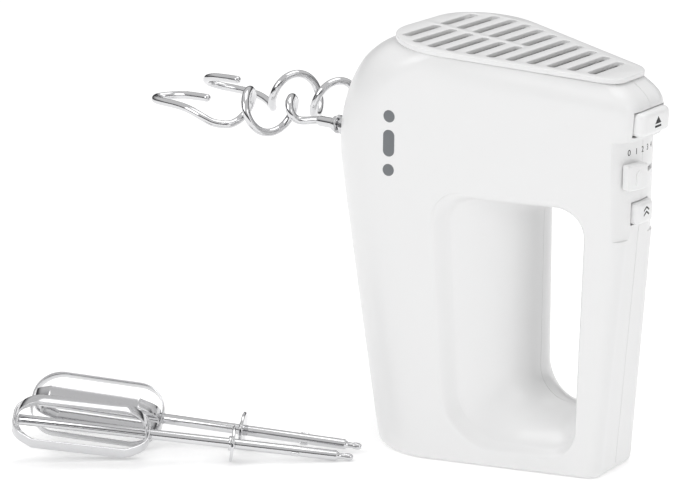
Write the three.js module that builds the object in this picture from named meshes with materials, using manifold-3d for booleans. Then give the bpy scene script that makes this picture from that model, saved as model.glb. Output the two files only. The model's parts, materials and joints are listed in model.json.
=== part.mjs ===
// Hand mixer standing on its heel, nose grille up.
// Millimetres, +Z up, +X towards the handle and its controls, -X towards the hooks.
// The casing is symmetric about the plane y = 0, where its two halves meet.
import * as THREE from 'three';
import { mergeVertices } from 'three/addons/utils/BufferGeometryUtils.js';
import Module from 'manifold-3d';

const wasm = await Module();
wasm.setup();

// ---------------------------------------------------------------- driving dimensions
const GAP = 0.3; // air between neighbouring pieces
const WALL = 2.5; // moulded wall of the casing

// Plan sections of the casing: a trapezoid, wide at the hooks, narrow at the handle.
const HEEL = { frontX: -56.8, frontHalf: 54.2, rearX: 58.7, rearHalf: 16.9, frontR: 30.5, rearR: 7.3 };
const CROWN = { frontX: -83.5, frontHalf: 52.3, rearX: 71.4, rearHalf: 16.1, frontR: 27.6, rearR: 9.8 };
const CROWN_Z = 185; // height at which the CROWN section holds
const BULGE = 0.08; // share by which the crown's sides bow out
const BULGE_X = -12; // where they bow most
const BULGE_REACH = 70; // how far the bow runs each way
const HEEL_ROUND = 2.5; // rounding of the heel's lower edge
const NOSE_TILT = 0.09; // fall of the nose face per unit towards the handle
const CREASE_Z = 180; // height of the shoulder crease above the origin
const NOSE_Z = 189.1; // height of the grille's top face above the origin
const ROLL_Z = 131; // where the front starts to roll back
const ROLL_R = 65; // radius of that roll

// Grille plate on the nose.
const GRILLE = { frontX: -49.2, frontHalf: 49.8, rearX: 61.8, rearHalf: 13.8, frontR: 27, rearR: 10 };
const GRILLE_THICK = 2.2;
const GRILLE_LIP = 1.2; // how far the plate overhangs the casing's rim
const SKIRT_INSET = 4.5; // the locating skirt stands this far inside the plate's edge
const SKIRT_DEEP = 4;
const SKIRT_WALL = 1.6;
const SLOT_ROWS = 11;
const SLOT_SPLIT_ROWS = 6; // rows with a rib in the middle
const SLOT_PITCH = 8.7;
const SLOT_FIRST_X = -30.5;
const SLOT_WIDE = 4;
const SLOT_EDGE = 5.2; // land between a slot's end and the plate's edge
const SLOT_RIB = 3;

// Finger opening behind the handle.
const GRIP = { frontX: 18, rearX: 49, lowZ: 27, highZ: 124 }; // at the middle plane
const GRIP_R = { frontLow: 15, rearLow: 9, rearHigh: 13, frontHigh: 9 };
// What the radii gain at the side face, and how far the opening's corners open out there.
const GRIP_R_GAIN = { frontLow: 13, rearLow: 5, rearHigh: 0, frontHigh: 4 };
const GRIP_FLARE = { frontLow: 27.5, frontHigh: 35.5, rearLow: -1.2, rearHigh: 1.8 };
const GRIP_DROP = 19.5; // and how far the floor drops
const GRIP_RISE = 1; // and the roof rises
const GRIP_STEP = 0.1; // share of the depth that the soft step at the rim takes
const GRIP_STEP_AT = 0.78; // share of the flare at which that step starts
const GRIP_TURNS = [0, 0.25, 0.5, 0.7, 0.86, 1]; // shares of the quarter round from the middle to the rim

// Controls on the handle's outer face.
// The turned face behind the controls.
const BAND = { axisX: 32.5, radius: 34.8, lowZ: 112, highZ: 157, wall: 4.5 };
const EJECT = { z: 164.6, high: 10.4, half: 12, frontX: 74.6, deep: 14, round: 4 };
const TURBO = { z: 123.4, high: 9.6, half: 6.6, frontX: 70.4, deep: 14, round: 2.5 };
const KNOB = { z: 141.2, high: 11.4, outer: 39.8, half: 8.2, restAngle: -13.2, sweep: 28 };
const LEVER_THICK = 1.6;
const LEVER_GAP = 0.3; // air over and under the lever in its slot
const PIVOT_R = 3;
const CONTROL_GAP = 0.5; // air round a control in its window

// Motor, on a vertical axis.
const MOTOR_X = -28;
const CORE = { low: 64, high: 92, side: 44, corner: 7, slotR: 19.8 };
const POLE = { stem: 7, shoeR: 12, shoeThick: 1.6, spread: 50 };
const COIL = { thick: 3.6, wide: 3.6, overhang: 5 };
const ROTOR_R = 11.2;
const ROTOR_SLOTS = 12;
const SHAFT_R = 2.5;
const SHAFT = { low: 40, high: 168 };
const COMMUTATOR = { low: 48, high: 57, radius: 8.4 };
const FAN = { low: 101, high: 109, radius: 21.5, blades: 7, hub: 6 };
const BRACKET = { low: 43, high: 46, side: 45, post: 3 };
const BRUSH = { wide: 4.6, high: 6, long: 8 };

// Reduction gear and spindles.
const SPINDLE_Y = 19.8;
const SPINDLE_Z = 143.5;
const SPINDLE = { frontX: -79.5, rearX: -14, radius: 4.6, bore: 2.9 };
const WORM = { radius: 4.2, root: 3.1, long: 24, pitch: 4.2 };
const WHEEL = { thick: 10, teeth: 22, tooth: 1.5 };
const FRAME = { low: 121, thick: 3, half: 28, frontX: -50, rearX: -17, high: 165 };
const BUSH_WALL = 1.6;

// Dough hooks, plugged in.
const HOOK = {
  innerX: -19, shaftR: 2.45, bendX: -92, topX: -109.9, pitch: 25.3, radius: 9.3, drop: 0.9, wireR: 1.9,
  leftTurn: 31, // the left hook's turn about its shaft, degrees
};
const HOOK_COLLAR = { x: -82.4, thick: 1.6, radius: 4.4, hub: 3.6, hubLong: 2.4 };
const SHANK = { frontX: SPINDLE.frontX + 1, tangX: -86, tangR: 1.2 }; // the hook's end inside the spindle

// Beaters, lying on the surface beside the mixer.
const BEATER = { cage: 62.4, radius: 15.5, cornerR: 13.5, strip: 0.9, wide: 5, shaftR: 2.4, long: 155.4 };
const BEATER_COLLAR = { at: 100, thick: 1.5, radius: 8.5, hub: 3.4, hubLong: 1.8 };
const BEATER_LUG = { at: 128.8, long: 4, wide: 6, thick: 2 };
const BEATER_TIP = { neck: 1.3, bulb: 1.65, long: 7.5 };
const BEATERS = [
  { name: 'front', x: -164.5, y: -156.3, yaw: 37.7, pitch: 7.4, roll: 20 },
  { name: 'rear', x: -180.6, y: -126.6, yaw: 28.6, pitch: 5.5, roll: 45 },
];

// Fasteners and small parts.
const BOSS_R = 4.2;
const SCREW = { head: 3.3, headHigh: 2.4, shank: 1.45, sunk: 9, bite: 11 };
const SCREWS = [
  { name: 'heel', x: -44, z: 15 },
  { name: 'grip', x: 53.5, z: 14 },
  { name: 'nose', x: -60.5, z: 168.5 },
  { name: 'crown', x: 50, z: 172.4 },
];
const SEAM_KEY = { frontX: -14, rearX: 14, half: 6 }; // the right half's tongue in the heel
const INLET = { x: 40, radius: 5.6, bore: 3.6, low: 1.2, high: 11, flange: 7.2 };

const ARC_STEPS = 5; // straight pieces in each rounded corner
const SIDE_POINTS = 3; // points added along the casing's bowed sides
const ROUND = 14; // sides of a turned piece

// ---------------------------------------------------------------- materials
const finish = (color, roughness, metalness = 0) =>
  new THREE.MeshStandardMaterial({ color, roughness, metalness });
const FINISH = {
  casing: finish(0xf1f1f0, 0.22),
  button: finish(0xf4f4f3, 0.3),
  steel: finish(0xd9dadb, 0.12, 1),
  core: finish(0x8d9092, 0.45, 0.9),
  copper: finish(0xb4673a, 0.35, 0.9),
  brass: finish(0xc9a24b, 0.3, 0.9),
  nylon: finish(0xe7e3d4, 0.5),
  carbon: finish(0x2b2b2d, 0.6),
  board: finish(0x2f6b45, 0.5),
  black: finish(0x1d1e20, 0.5),
};

// ---------------------------------------------------------------- helpers
const group = new THREE.Group();
const rad = THREE.MathUtils.degToRad;
const vec = (x, y, z) => new THREE.Vector3(x, y, z);

function add(name, shape, material, parent = group) {
  const geometry = shape.isBufferGeometry ? shape : geometryOf(shape);
  const mesh = new THREE.Mesh(geometry, material);
  mesh.name = name;
  parent.add(mesh);
  return mesh;
}

// A closed geometry as a solid that can be joined and cut.
function solid(geometry) {
  const bare = geometry.index ? geometry.toNonIndexed() : geometry.clone();
  bare.deleteAttribute('normal');
  bare.deleteAttribute('uv');
  const merged = mergeVertices(bare, 1e-4);
  const mesh = new wasm.Mesh({
    numProp: 3,
    vertProperties: new Float32Array(merged.attributes.position.array),
    triVerts: new Uint32Array(merged.index.array),
  });
  return new wasm.Manifold(mesh);
}

function geometryOf(manifold) {
  const mesh = manifold.getMesh();
  const geometry = new THREE.BufferGeometry();
  geometry.setAttribute('position', new THREE.BufferAttribute(mesh.vertProperties, 3));
  geometry.setIndex(new THREE.BufferAttribute(mesh.triVerts, 1));
  return geometry;
}

// A polygon with its corners rounded; corners run anticlockwise.
// extra lists how many points are added along each side.
function rounded(points, radii, steps = ARC_STEPS, extra = []) {
  const arcs = [];
  points.forEach((corner, i) => {
    const before = points[(i + points.length - 1) % points.length];
    const after = points[(i + 1) % points.length];
    const u = before.clone().sub(corner).normalize();
    const v = after.clone().sub(corner).normalize();
    const half = Math.acos(THREE.MathUtils.clamp(u.dot(v), -1, 1)) / 2;
    const reach = Math.min(
      radii[i] / Math.tan(half),
      0.48 * corner.distanceTo(before),
      0.48 * corner.distanceTo(after),
    );
    const radius = reach * Math.tan(half);
    const middle = u.clone().add(v).normalize().multiplyScalar(radius / Math.sin(half)).add(corner);
    const from = u.clone().multiplyScalar(reach).add(corner).sub(middle).angle();
    const turn = Math.PI - 2 * half;
    const arc = [];
    for (let k = 0; k <= steps; k++) {
      const angle = from + (turn * k) / steps;
      arc.push(new THREE.Vector2(Math.cos(angle), Math.sin(angle)).multiplyScalar(radius).add(middle));
    }
    arcs.push(arc);
  });
  return arcs.flatMap((arc, i) => {
    const next = arcs[(i + 1) % arcs.length][0];
    const count = extra[i] ?? 0;
    const along = (k) => arc.at(-1).clone().lerp(next, (k + 1) / (count + 1));
    return [...arc, ...Array.from({ length: count }, (_, k) => along(k))];
  });
}

function rectangle(long, wide, radius, steps = ARC_STEPS) {
  const a = long / 2;
  const b = wide / 2;
  const corners = [[a, -b], [a, b], [-a, b], [-a, -b]].map(([x, y]) => new THREE.Vector2(x, y));
  return rounded(corners, [radius, radius, radius, radius], steps);
}

function circle(radius, steps = ROUND) {
  return Array.from({ length: steps }, (_, k) => {
    const angle = (2 * Math.PI * k) / steps;
    return new THREE.Vector2(radius * Math.cos(angle), radius * Math.sin(angle));
  });
}

// An outline with holes, raised from low to high along Z.
function prism(outline, low, high, holes = []) {
  const shape = new THREE.Shape(outline);
  shape.holes = holes.map((hole) => new THREE.Path(hole));
  const geometry = new THREE.ExtrudeGeometry(shape, { depth: high - low, bevelEnabled: false });
  return geometry.translate(0, 0, low);
}

function block(low, high) {
  const geometry = new THREE.BoxGeometry(high[0] - low[0], high[1] - low[1], high[2] - low[2]);
  return geometry.translate((low[0] + high[0]) / 2, (low[1] + high[1]) / 2, (low[2] + high[2]) / 2);
}

// A turned piece on the Z axis; the profile lists [radius, height] pairs.
function turned(profile, sides = ROUND) {
  const geometry = new THREE.LatheGeometry(profile.map(([r, z]) => new THREE.Vector2(r, z)), sides);
  return geometry.rotateX(Math.PI / 2);
}

const rod = (radius, low, high, sides = ROUND) =>
  turned([[0, low], [radius, low], [radius, high], [0, high]], sides);
const tube = (inner, outer, low, high, sides = ROUND) =>
  turned([[inner, low], [outer, low], [outer, high], [inner, high], [inner, low]], sides);

const alongX = (geometry, y = 0, z = 0) => geometry.rotateY(Math.PI / 2).translate(0, y, z);
const alongY = (geometry, x = 0, z = 0) => geometry.rotateX(-Math.PI / 2).translate(x, 0, z);
const union = (...shapes) => shapes.map(solid).reduce((a, b) => a.add(b));

// A closed skin over rings of equal length, each anticlockwise seen from the last.
function loft(rings) {
  const count = rings[0].length;
  const positions = rings.flat().flatMap((p) => [p.x, p.y, p.z]);
  const index = [];
  for (let r = 0; r + 1 < rings.length; r++) {
    for (let k = 0; k < count; k++) {
      const a = r * count + k;
      const b = r * count + ((k + 1) % count);
      index.push(a, b, b + count, a, b + count, a + count);
    }
  }
  const last = (rings.length - 1) * count;
  for (let k = 1; k + 1 < count; k++) {
    index.push(0, k + 1, k, last, last + k, last + k + 1);
  }
  const geometry = new THREE.BufferGeometry();
  geometry.setAttribute('position', new THREE.Float32BufferAttribute(positions, 3));
  geometry.setIndex(index);
  return geometry;
}

// A helix of round wire on the Z axis.
function coilSpring(radius, wire, low, high, turns) {
  const steps = turns * 8;
  const points = Array.from({ length: steps + 1 }, (_, k) => {
    const angle = (2 * Math.PI * turns * k) / steps;
    const z = low + wire + ((high - low - 2 * wire) * k) / steps;
    return vec(radius * Math.cos(angle), radius * Math.sin(angle), z);
  });
  return wireAlong(points, wire, steps, 4);
}

function wireAlong(points, radius, steps, sides) {
  const path = new THREE.CatmullRomCurve3(points);
  const section = new THREE.Shape(circle(radius, sides));
  return new THREE.ExtrudeGeometry(section, { steps, extrudePath: path, bevelEnabled: false });
}

// ---------------------------------------------------------------- casing
const mix = (a, b, t) => a + (b - a) * t;

// A plan section moved inwards by inset, with the same number of points each time.
function planSection(s, inset) {
  const slope = (s.rearHalf - s.frontHalf) / (s.rearX - s.frontX);
  const step = inset * Math.hypot(1, slope);
  const frontHalf = s.frontHalf + slope * inset - step;
  const rearHalf = s.rearHalf - slope * inset - step;
  const corners = [
    [s.rearX - inset, -rearHalf],
    [s.rearX - inset, rearHalf],
    [s.frontX + inset, frontHalf],
    [s.frontX + inset, -frontHalf],
  ].map(([x, y]) => new THREE.Vector2(x, y));
  const rearR = Math.max(s.rearR - inset, 1);
  const frontR = Math.max(s.frontR - inset, 1);
  return rounded(corners, [rearR, rearR, frontR, frontR], ARC_STEPS, [0, SIDE_POINTS, 0, SIDE_POINTS]);
}

const sectionAt = (t) =>
  Object.fromEntries(Object.keys(HEEL).map((key) => [key, mix(HEEL[key], CROWN[key], t)]));

// How far the front has rolled back at a height.
function rollBack(z) {
  const rise = Math.max(0, z - ROLL_Z);
  return rise >= ROLL_R ? ROLL_R : ROLL_R - Math.sqrt(ROLL_R * ROLL_R - rise * rise);
}

// How much the side bows out at x, a share t of the way up.
function bow(x, t) {
  const off = (x - BULGE_X) / BULGE_REACH;
  return 1 + BULGE * t * Math.max(0, 1 - off * off);
}

// The casing's skin at a height, moved inwards by inset; the nose end leans with NOSE_TILT.
function casingRing(height, inset) {
  const t = height / CROWN_Z;
  const section = sectionAt(t);
  const back = rollBack(height);
  const slope = (section.rearHalf - section.frontHalf) / (section.rearX - section.frontX);
  section.frontX += back;
  section.frontHalf += slope * back;
  const lean = NOSE_TILT * THREE.MathUtils.clamp((height - ROLL_Z) / (CREASE_Z - ROLL_Z), 0, 1);
  return planSection(section, inset).map((p) => vec(p.x, p.y * bow(p.x, t), height - lean * p.x));
}

function rimRing(inset, drop) {
  return planSection(GRILLE, inset).map((p) => vec(p.x, p.y, NOSE_Z - drop - NOSE_TILT * p.x));
}

const RIM_DROP = GRILLE_THICK + GAP; // the casing's rim lies this far under the grille's face
const BELOW = [0.46, 0.85].map((share) => share * ROLL_Z);
const ABOVE = [0, 0.29, 0.55, 0.8, 1].map((share) => mix(ROLL_Z, CREASE_Z, share));
const LEVELS = [...BELOW, ...ABOVE];

function casingSolid() {
  const rings = [casingRing(0, HEEL_ROUND), casingRing(0.3 * HEEL_ROUND, 0.3 * HEEL_ROUND)];
  rings.push(casingRing(HEEL_ROUND, 0));
  LEVELS.forEach((height) => rings.push(casingRing(height, 0)));
  rings.push(rimRing(GRILLE_LIP, RIM_DROP));
  return solid(loft(rings));
}

function cavitySolid() {
  const rings = [casingRing(WALL, WALL + 1), casingRing(WALL + 1, WALL)];
  LEVELS.forEach((height) => rings.push(casingRing(height - (height > ROLL_Z ? 0.3 * WALL : 0), WALL)));
  rings.push(rimRing(GRILLE_LIP + WALL, RIM_DROP + WALL));
  return solid(loft(rings));
}

// Distance of the side face from the middle plane, below the roll.
function sideY(x, z) {
  const section = sectionAt(z / CROWN_Z);
  const slope = (section.rearHalf - section.frontHalf) / (section.rearX - section.frontX);
  return (section.frontHalf + slope * (x - section.frontX)) * bow(x, z / CROWN_Z);
}

// The opening's outline, grown by grow, a share of the way round from the middle plane (0) to the side face (1).
function gripRing(turn, side, grow) {
  const flare = 1 - Math.cos((turn * Math.PI) / 2);
  const rise = Math.max(0, (flare - GRIP_STEP_AT) / (1 - GRIP_STEP_AT));
  const step = rise * rise * (3 - 2 * rise);
  const depth = Math.sin((turn * Math.PI) / 2) * (1 - GRIP_STEP * (1 - step));
  const lowZ = GRIP.lowZ - GRIP_DROP * flare - grow;
  const highZ = GRIP.highZ + GRIP_RISE * flare + grow;
  const corners = [
    [GRIP.frontX - GRIP_FLARE.frontLow * flare - grow, lowZ],
    [GRIP.rearX + GRIP_FLARE.rearLow * flare + grow, lowZ],
    [GRIP.rearX + GRIP_FLARE.rearHigh * flare + grow, highZ],
    [GRIP.frontX - GRIP_FLARE.frontHigh * flare - grow, highZ],
  ].map(([x, z]) => new THREE.Vector2(x, z));
  const radii = ['frontLow', 'rearLow', 'rearHigh', 'frontHigh'].map(
    (key) => GRIP_R[key] + GRIP_R_GAIN[key] * flare + grow,
  );
  const outline = rounded(corners, radii, 4);
  return outline.map((p) => vec(p.x, side * depth * sideY(p.x, p.y), p.y)).reverse();
}

function gripSolid(grow) {
  const near = GRIP_TURNS.slice(1).reverse().map((turn) => gripRing(turn, -1, grow));
  const far = GRIP_TURNS.map((turn) => gripRing(turn, 1, grow));
  const end = (ring, y) => ring.map((p) => vec(p.x, y, p.z));
  const reach = CROWN.frontHalf + 10;
  return solid(loft([end(near[0], -reach), ...near, ...far, end(far.at(-1), reach)]));
}

// What the turned band behind the controls takes off the handle's outer face.
function bandCut(inset) {
  const reach = 40;
  const low = BAND.lowZ - inset;
  const high = BAND.highZ + inset;
  const drum = prism(circle(BAND.radius - inset, 48), low - 1, high + 1).translate(BAND.axisX, 0, 0);
  const box = block([BAND.axisX, -reach, low], [BAND.axisX + 2 * reach, reach, high]);
  return solid(box).subtract(solid(drum));
}

function controlOutline(c, grow) {
  const back = c.frontX - c.deep;
  const corners = [
    [c.frontX + grow, -c.half - grow],
    [c.frontX + grow, c.half + grow],
    [back, c.half + grow],
    [back, -c.half - grow],
  ].map(([x, y]) => new THREE.Vector2(x, y));
  return rounded(corners, [c.round, c.round, 0.5, 0.5], 4);
}

const controlBlock = (c, grow) =>
  prism(controlOutline(c, grow), c.z - c.high / 2 - grow, c.z + c.high / 2 + grow);

// A sector about the lever's pivot.
function sector(inner, outer, from, to, low, high) {
  const steps = 8;
  const arc = (radius, a, b) =>
    Array.from({ length: steps + 1 }, (_, k) => {
      const angle = rad(mix(a, b, k / steps));
      return new THREE.Vector2(BAND.axisX + radius * Math.cos(angle), radius * Math.sin(angle));
    });
  return prism([...arc(outer, from, to), ...arc(inner, to, from)], low, high);
}

const LEVER_LOW = KNOB.z - LEVER_THICK / 2;
const LEVER_HIGH = KNOB.z + LEVER_THICK / 2;

function screwAxis(screw) {
  const ring = casingRing(screw.z, 0);
  const near = ring.filter((p) => p.y > 0);
  let face = 0;
  near.forEach((p, k) => {
    const q = near[(k + 1) % near.length];
    if ((p.x - screw.x) * (q.x - screw.x) <= 0 && p.x !== q.x) {
      face = Math.max(face, mix(p.y, q.y, (screw.x - p.x) / (q.x - p.x)));
    }
  });
  return face;
}

function casingHalves() {
  const skin = casingSolid();
  let shell = skin.subtract(cavitySolid().subtract(gripSolid(WALL)).subtract(bandCut(BAND.wall)));
  SCREWS.forEach((screw) => {
    const boss = solid(alongY(rod(BOSS_R, -CROWN.frontHalf, CROWN.frontHalf, 8), screw.x, screw.z));
    shell = shell.add(boss.intersect(skin));
  });
  shell = shell.subtract(gripSolid(0)).subtract(bandCut(0));
  const mouthRing = (drop) => rimRing(SKIRT_INSET - GAP, drop);
  shell = shell.subtract(solid(loft([mouthRing(RIM_DROP + 12), mouthRing(-5)])));
  const ejectSweep = { ...EJECT, deep: EJECT.deep + 6 }; // clear behind the button for its whole travel
  shell = shell.subtract(solid(controlBlock(ejectSweep, CONTROL_GAP)));
  shell = shell.subtract(solid(controlBlock(TURBO, CONTROL_GAP)));
  const slotHalf = KNOB.sweep / 2 + KNOB.half - 2;
  shell = shell.subtract(
    solid(sector(20, 50, -slotHalf, slotHalf, LEVER_LOW - LEVER_GAP, LEVER_HIGH + LEVER_GAP)),
  );
  [-SPINDLE_Y, SPINDLE_Y].forEach((y) => {
    const mouth = rod(SPINDLE.radius + CONTROL_GAP, CROWN.frontX - 5, SPINDLE.frontX + 22);
    shell = shell.subtract(solid(alongX(mouth, y, SPINDLE_Z)));
  });
  shell = shell.subtract(solid(rod(INLET.radius + GAP, -1, INLET.high + 5).translate(INLET.x, 0, 0)));
  SCREWS.forEach((screw) => {
    const face = screwAxis(screw);
    const seat = face - SCREW.sunk;
    const head = rod(SCREW.head + GAP, seat - SCREW.headHigh - GAP, face + 10, 10);
    const hole = rod(SCREW.shank + GAP, -SCREW.bite - GAP, seat, 8);
    shell = shell.subtract(solid(alongY(head, screw.x, screw.z)));
    shell = shell.subtract(solid(alongY(hole, screw.x, screw.z)));
  });
  const far = 200;
  const key = (grow) => {
    const low = [SEAM_KEY.frontX - grow, -1, -1];
    return solid(block(low, [SEAM_KEY.rearX + grow, SEAM_KEY.half + grow, WALL + 1 + grow]));
  };
  const rightSpace = solid(block([-far, -far, -far], [far, -GAP / 2, 2 * far])).add(key(0));
  const leftSpace = solid(block([-far, GAP / 2, -far], [far, far, 2 * far])).subtract(key(GAP));
  return [shell.intersect(rightSpace), shell.intersect(leftSpace)];
}

// Half the plan's width at x, for a plate outline.
function halfWidth(outline, x) {
  let half = 0;
  outline.forEach((p, k) => {
    const q = outline[(k + 1) % outline.length];
    if (p.y > 0 && q.y > 0 && (p.x - x) * (q.x - x) <= 0 && p.x !== q.x) {
      half = Math.max(half, mix(p.y, q.y, (x - p.x) / (q.x - p.x)));
    }
  });
  return half;
}

function noseGrille() {
  const outline = planSection(GRILLE, 0);
  const holes = [];
  for (let row = 0; row < SLOT_ROWS; row++) {
    const x = SLOT_FIRST_X + row * SLOT_PITCH - SLOT_PITCH;
    const half = halfWidth(outline, x) - SLOT_EDGE;
    const spans = row < SLOT_SPLIT_ROWS ? [[SLOT_RIB / 2, half], [-half, -SLOT_RIB / 2]] : [[-half, half]];
    spans.forEach(([a, b]) => {
      const slot = rectangle(SLOT_WIDE, b - a, SLOT_WIDE / 2, 1);
      holes.push(slot.map((p) => new THREE.Vector2(p.x + x, p.y + (a + b) / 2)));
    });
  }
  const plate = prism(outline, -GRILLE_THICK, 0, holes);
  const skirt = prism(planSection(GRILLE, SKIRT_INSET), -GRILLE_THICK - SKIRT_DEEP, -GRILLE_THICK + 0.2, [
    planSection(GRILLE, SKIRT_INSET + SKIRT_WALL),
  ]);
  const lean = new THREE.Matrix4().set(1, 0, 0, 0, 0, 1, 0, 0, -NOSE_TILT, 0, 1, NOSE_Z, 0, 0, 0, 1);
  const slots = holes.map((hole) => solid(prism(hole, -GRILLE_THICK - SKIRT_DEEP - 1, 1)));
  const whole = slots.reduce((body, slot) => body.subtract(slot), union(plate, skirt));
  return geometryOf(whole).applyMatrix4(lean);
}

function buildCasing() {
  const [right, left] = casingHalves();
  add('right_shell', right, FINISH.casing);
  add('left_shell', left, FINISH.casing);
  add('nose_grille', noseGrille(), FINISH.casing);
  SCREWS.forEach((screw) => {
    const seat = screwAxis(screw) - SCREW.sunk;
    const profile = [
      [0, -SCREW.bite],
      [SCREW.shank, -SCREW.bite],
      [SCREW.shank, seat - SCREW.headHigh],
      [SCREW.head, seat - SCREW.headHigh],
      [SCREW.head, seat - 0.6],
      [SCREW.head - 0.6, seat],
      [0, seat],
    ];
    add(`${screw.name}_screw`, alongY(turned(profile, 8), screw.x, screw.z), FINISH.steel);
  });
  const inlet = [
    [INLET.bore, INLET.low],
    [INLET.radius, INLET.low],
    [INLET.radius, INLET.high - 3],
    [INLET.flange, INLET.high - 3],
    [INLET.flange, INLET.high],
    [INLET.bore, INLET.high],
    [INLET.bore, INLET.low],
  ];
  add('cord_inlet_bush', turned(inlet, 16).translate(INLET.x, 0, 0), FINISH.black);
}

// ---------------------------------------------------------------- controls
function buildControls() {
  add('eject_button', controlBlock(EJECT, 0), FINISH.button);
  const backX = EJECT.frontX - EJECT.deep;
  const crossX = SPINDLE.rearX + 6;
  const pushX = SPINDLE.rearX + 0.5;
  const bar = block([crossX, -3.5, EJECT.z - 2.5], [backX - GAP, 3.5, EJECT.z + 2.5]);
  const cross = block([crossX, -SPINDLE_Y - 3, SPINDLE_Z - 3], [crossX + 3, SPINDLE_Y + 3, EJECT.z + 2.5]);
  const pins = [-SPINDLE_Y, SPINDLE_Y].map((y) => alongX(rod(2.2, pushX, crossX + 1, 10), y, SPINDLE_Z));
  add('eject_yoke', union(bar, cross, ...pins), FINISH.nylon);
  const spring = coilSpring(3.4, 0.5, FRAME.rearX + GAP, crossX - GAP, 4);
  add('eject_spring', alongX(spring, 0, EJECT.z - 9), FINISH.steel);

  add('turbo_button', controlBlock(TURBO, 0), FINISH.button);
  const turboBack = TURBO.frontX - TURBO.deep;
  const turboSpring = coilSpring(2.4, 0.35, turboBack - 3.2, turboBack - GAP, 3);
  add('turbo_spring', alongX(turboSpring, 0, TURBO.z + 1), FINISH.steel);
  const switchLow = TURBO.z + TURBO.high / 2 + 0.8;
  const turboSwitch = block([turboBack - 3, -5, switchLow], [turboBack + 4, 5, switchLow + 5.5]);
  add('turbo_switch', turboSwitch, FINISH.black);

  const from = KNOB.restAngle - KNOB.half;
  const to = KNOB.restAngle + KNOB.half;
  const knobLow = KNOB.z - KNOB.high / 2;
  const knob = sector(BAND.radius + CONTROL_GAP, KNOB.outer, from, to, knobLow, knobLow + KNOB.high);
  const arm = sector(PIVOT_R + 2, KNOB.outer - 1, from + 4, to - 4, LEVER_LOW, LEVER_HIGH);
  const hub = tube(PIVOT_R + GAP, PIVOT_R + 4, LEVER_LOW, LEVER_HIGH, 16).translate(BAND.axisX, 0, 0);
  add('speed_lever', union(knob, arm, hub), FINISH.button);
  const seat = LEVER_LOW - 8;
  const base = block([BAND.axisX - 11, -12, seat], [BAND.axisX + 11, 12, LEVER_LOW - GAP]);
  const post = rod(PIVOT_R, LEVER_LOW - 1, LEVER_HIGH + 3, 16).translate(BAND.axisX, 0, 0);
  add('speed_switch', union(base, post), FINISH.black);

  const boardZ = LEVER_HIGH + 7;
  add('circuit_board', block([8, -17, boardZ], [44, 17, boardZ + 1.6]), FINISH.board);
  add('suppressor_capacitor', block([12, 5, boardZ + 1.9], [26, 12, boardZ + 9]), FINISH.black);
}

// ---------------------------------------------------------------- motor
function poleSpace() {
  const stemAt = POLE.stem;
  const outer = CORE.slotR;
  const points = [];
  [0, 180].forEach((side) => {
    const at = (radius, degrees) => {
      const angle = rad(side + 90 + degrees);
      return new THREE.Vector2(radius * Math.cos(angle), radius * Math.sin(angle));
    };
    const stemTurn = (radius) => THREE.MathUtils.radToDeg(Math.asin(stemAt / radius));
    const shoe = POLE.shoeR + POLE.shoeThick;
    points.push(at(outer, -90 + 8), at(outer, -66), at(outer, -44), at(outer, -32), at(outer, -stemTurn(outer)));
    points.push(at(shoe, -stemTurn(shoe)), at(shoe, -POLE.spread));
    for (let k = 0; k <= 8; k++) points.push(at(POLE.shoeR, mix(-POLE.spread, POLE.spread, k / 8)));
    points.push(at(shoe, POLE.spread), at(shoe, stemTurn(shoe)));
    points.push(at(outer, stemTurn(outer)), at(outer, 32), at(outer, 44), at(outer, 66), at(outer, 90 - 8));
  });
  return points;
}

function fieldCoil(side) {
  const inX = POLE.stem + GAP;
  const outX = inX + COIL.wide;
  const low = CORE.low - COIL.overhang;
  const high = CORE.high + COIL.overhang;
  const ring = prism(rectangle(2 * outX, high - low, 4, 3), 0, COIL.thick, [
    rectangle(2 * inX, CORE.high - CORE.low + 2 * GAP, 0.2, 1),
  ]);
  const outerFace = Math.sqrt(CORE.slotR ** 2 - outX ** 2) - GAP;
  ring.rotateX(Math.PI / 2).translate(0, side * (outerFace - COIL.thick / 2) + COIL.thick / 2, 0);
  return ring.translate(0, 0, (low + high) / 2);
}

function bracketShape(low, high, postLow, postHigh, hole, sideX, sideY) {
  const plate = prism(rectangle(sideX, sideY, 5, 2), low, high);
  const reach = CORE.side / 2 - BRACKET.post - 0.5;
  const posts = [[1, 1], [1, -1], [-1, 1], [-1, -1]].map(([sx, sy]) =>
    rod(BRACKET.post, postLow, postHigh, 6).translate(sx * reach, sy * reach, 0),
  );
  return union(plate, ...posts).subtract(solid(rod(hole, low - 1, high + 1)));
}

function gearWheel(radius, thick, teeth, tooth, hole) {
  const outline = [];
  for (let k = 0; k < teeth; k++) {
    [[0.08, radius - tooth], [0.3, radius], [0.55, radius], [0.8, radius - tooth]].forEach(([share, r]) => {
      const angle = (2 * Math.PI * (k + share)) / teeth;
      outline.push(new THREE.Vector2(r * Math.cos(angle), r * Math.sin(angle)));
    });
  }
  return prism(outline, -thick / 2, thick / 2, [circle(hole, 16)]);
}

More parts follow.
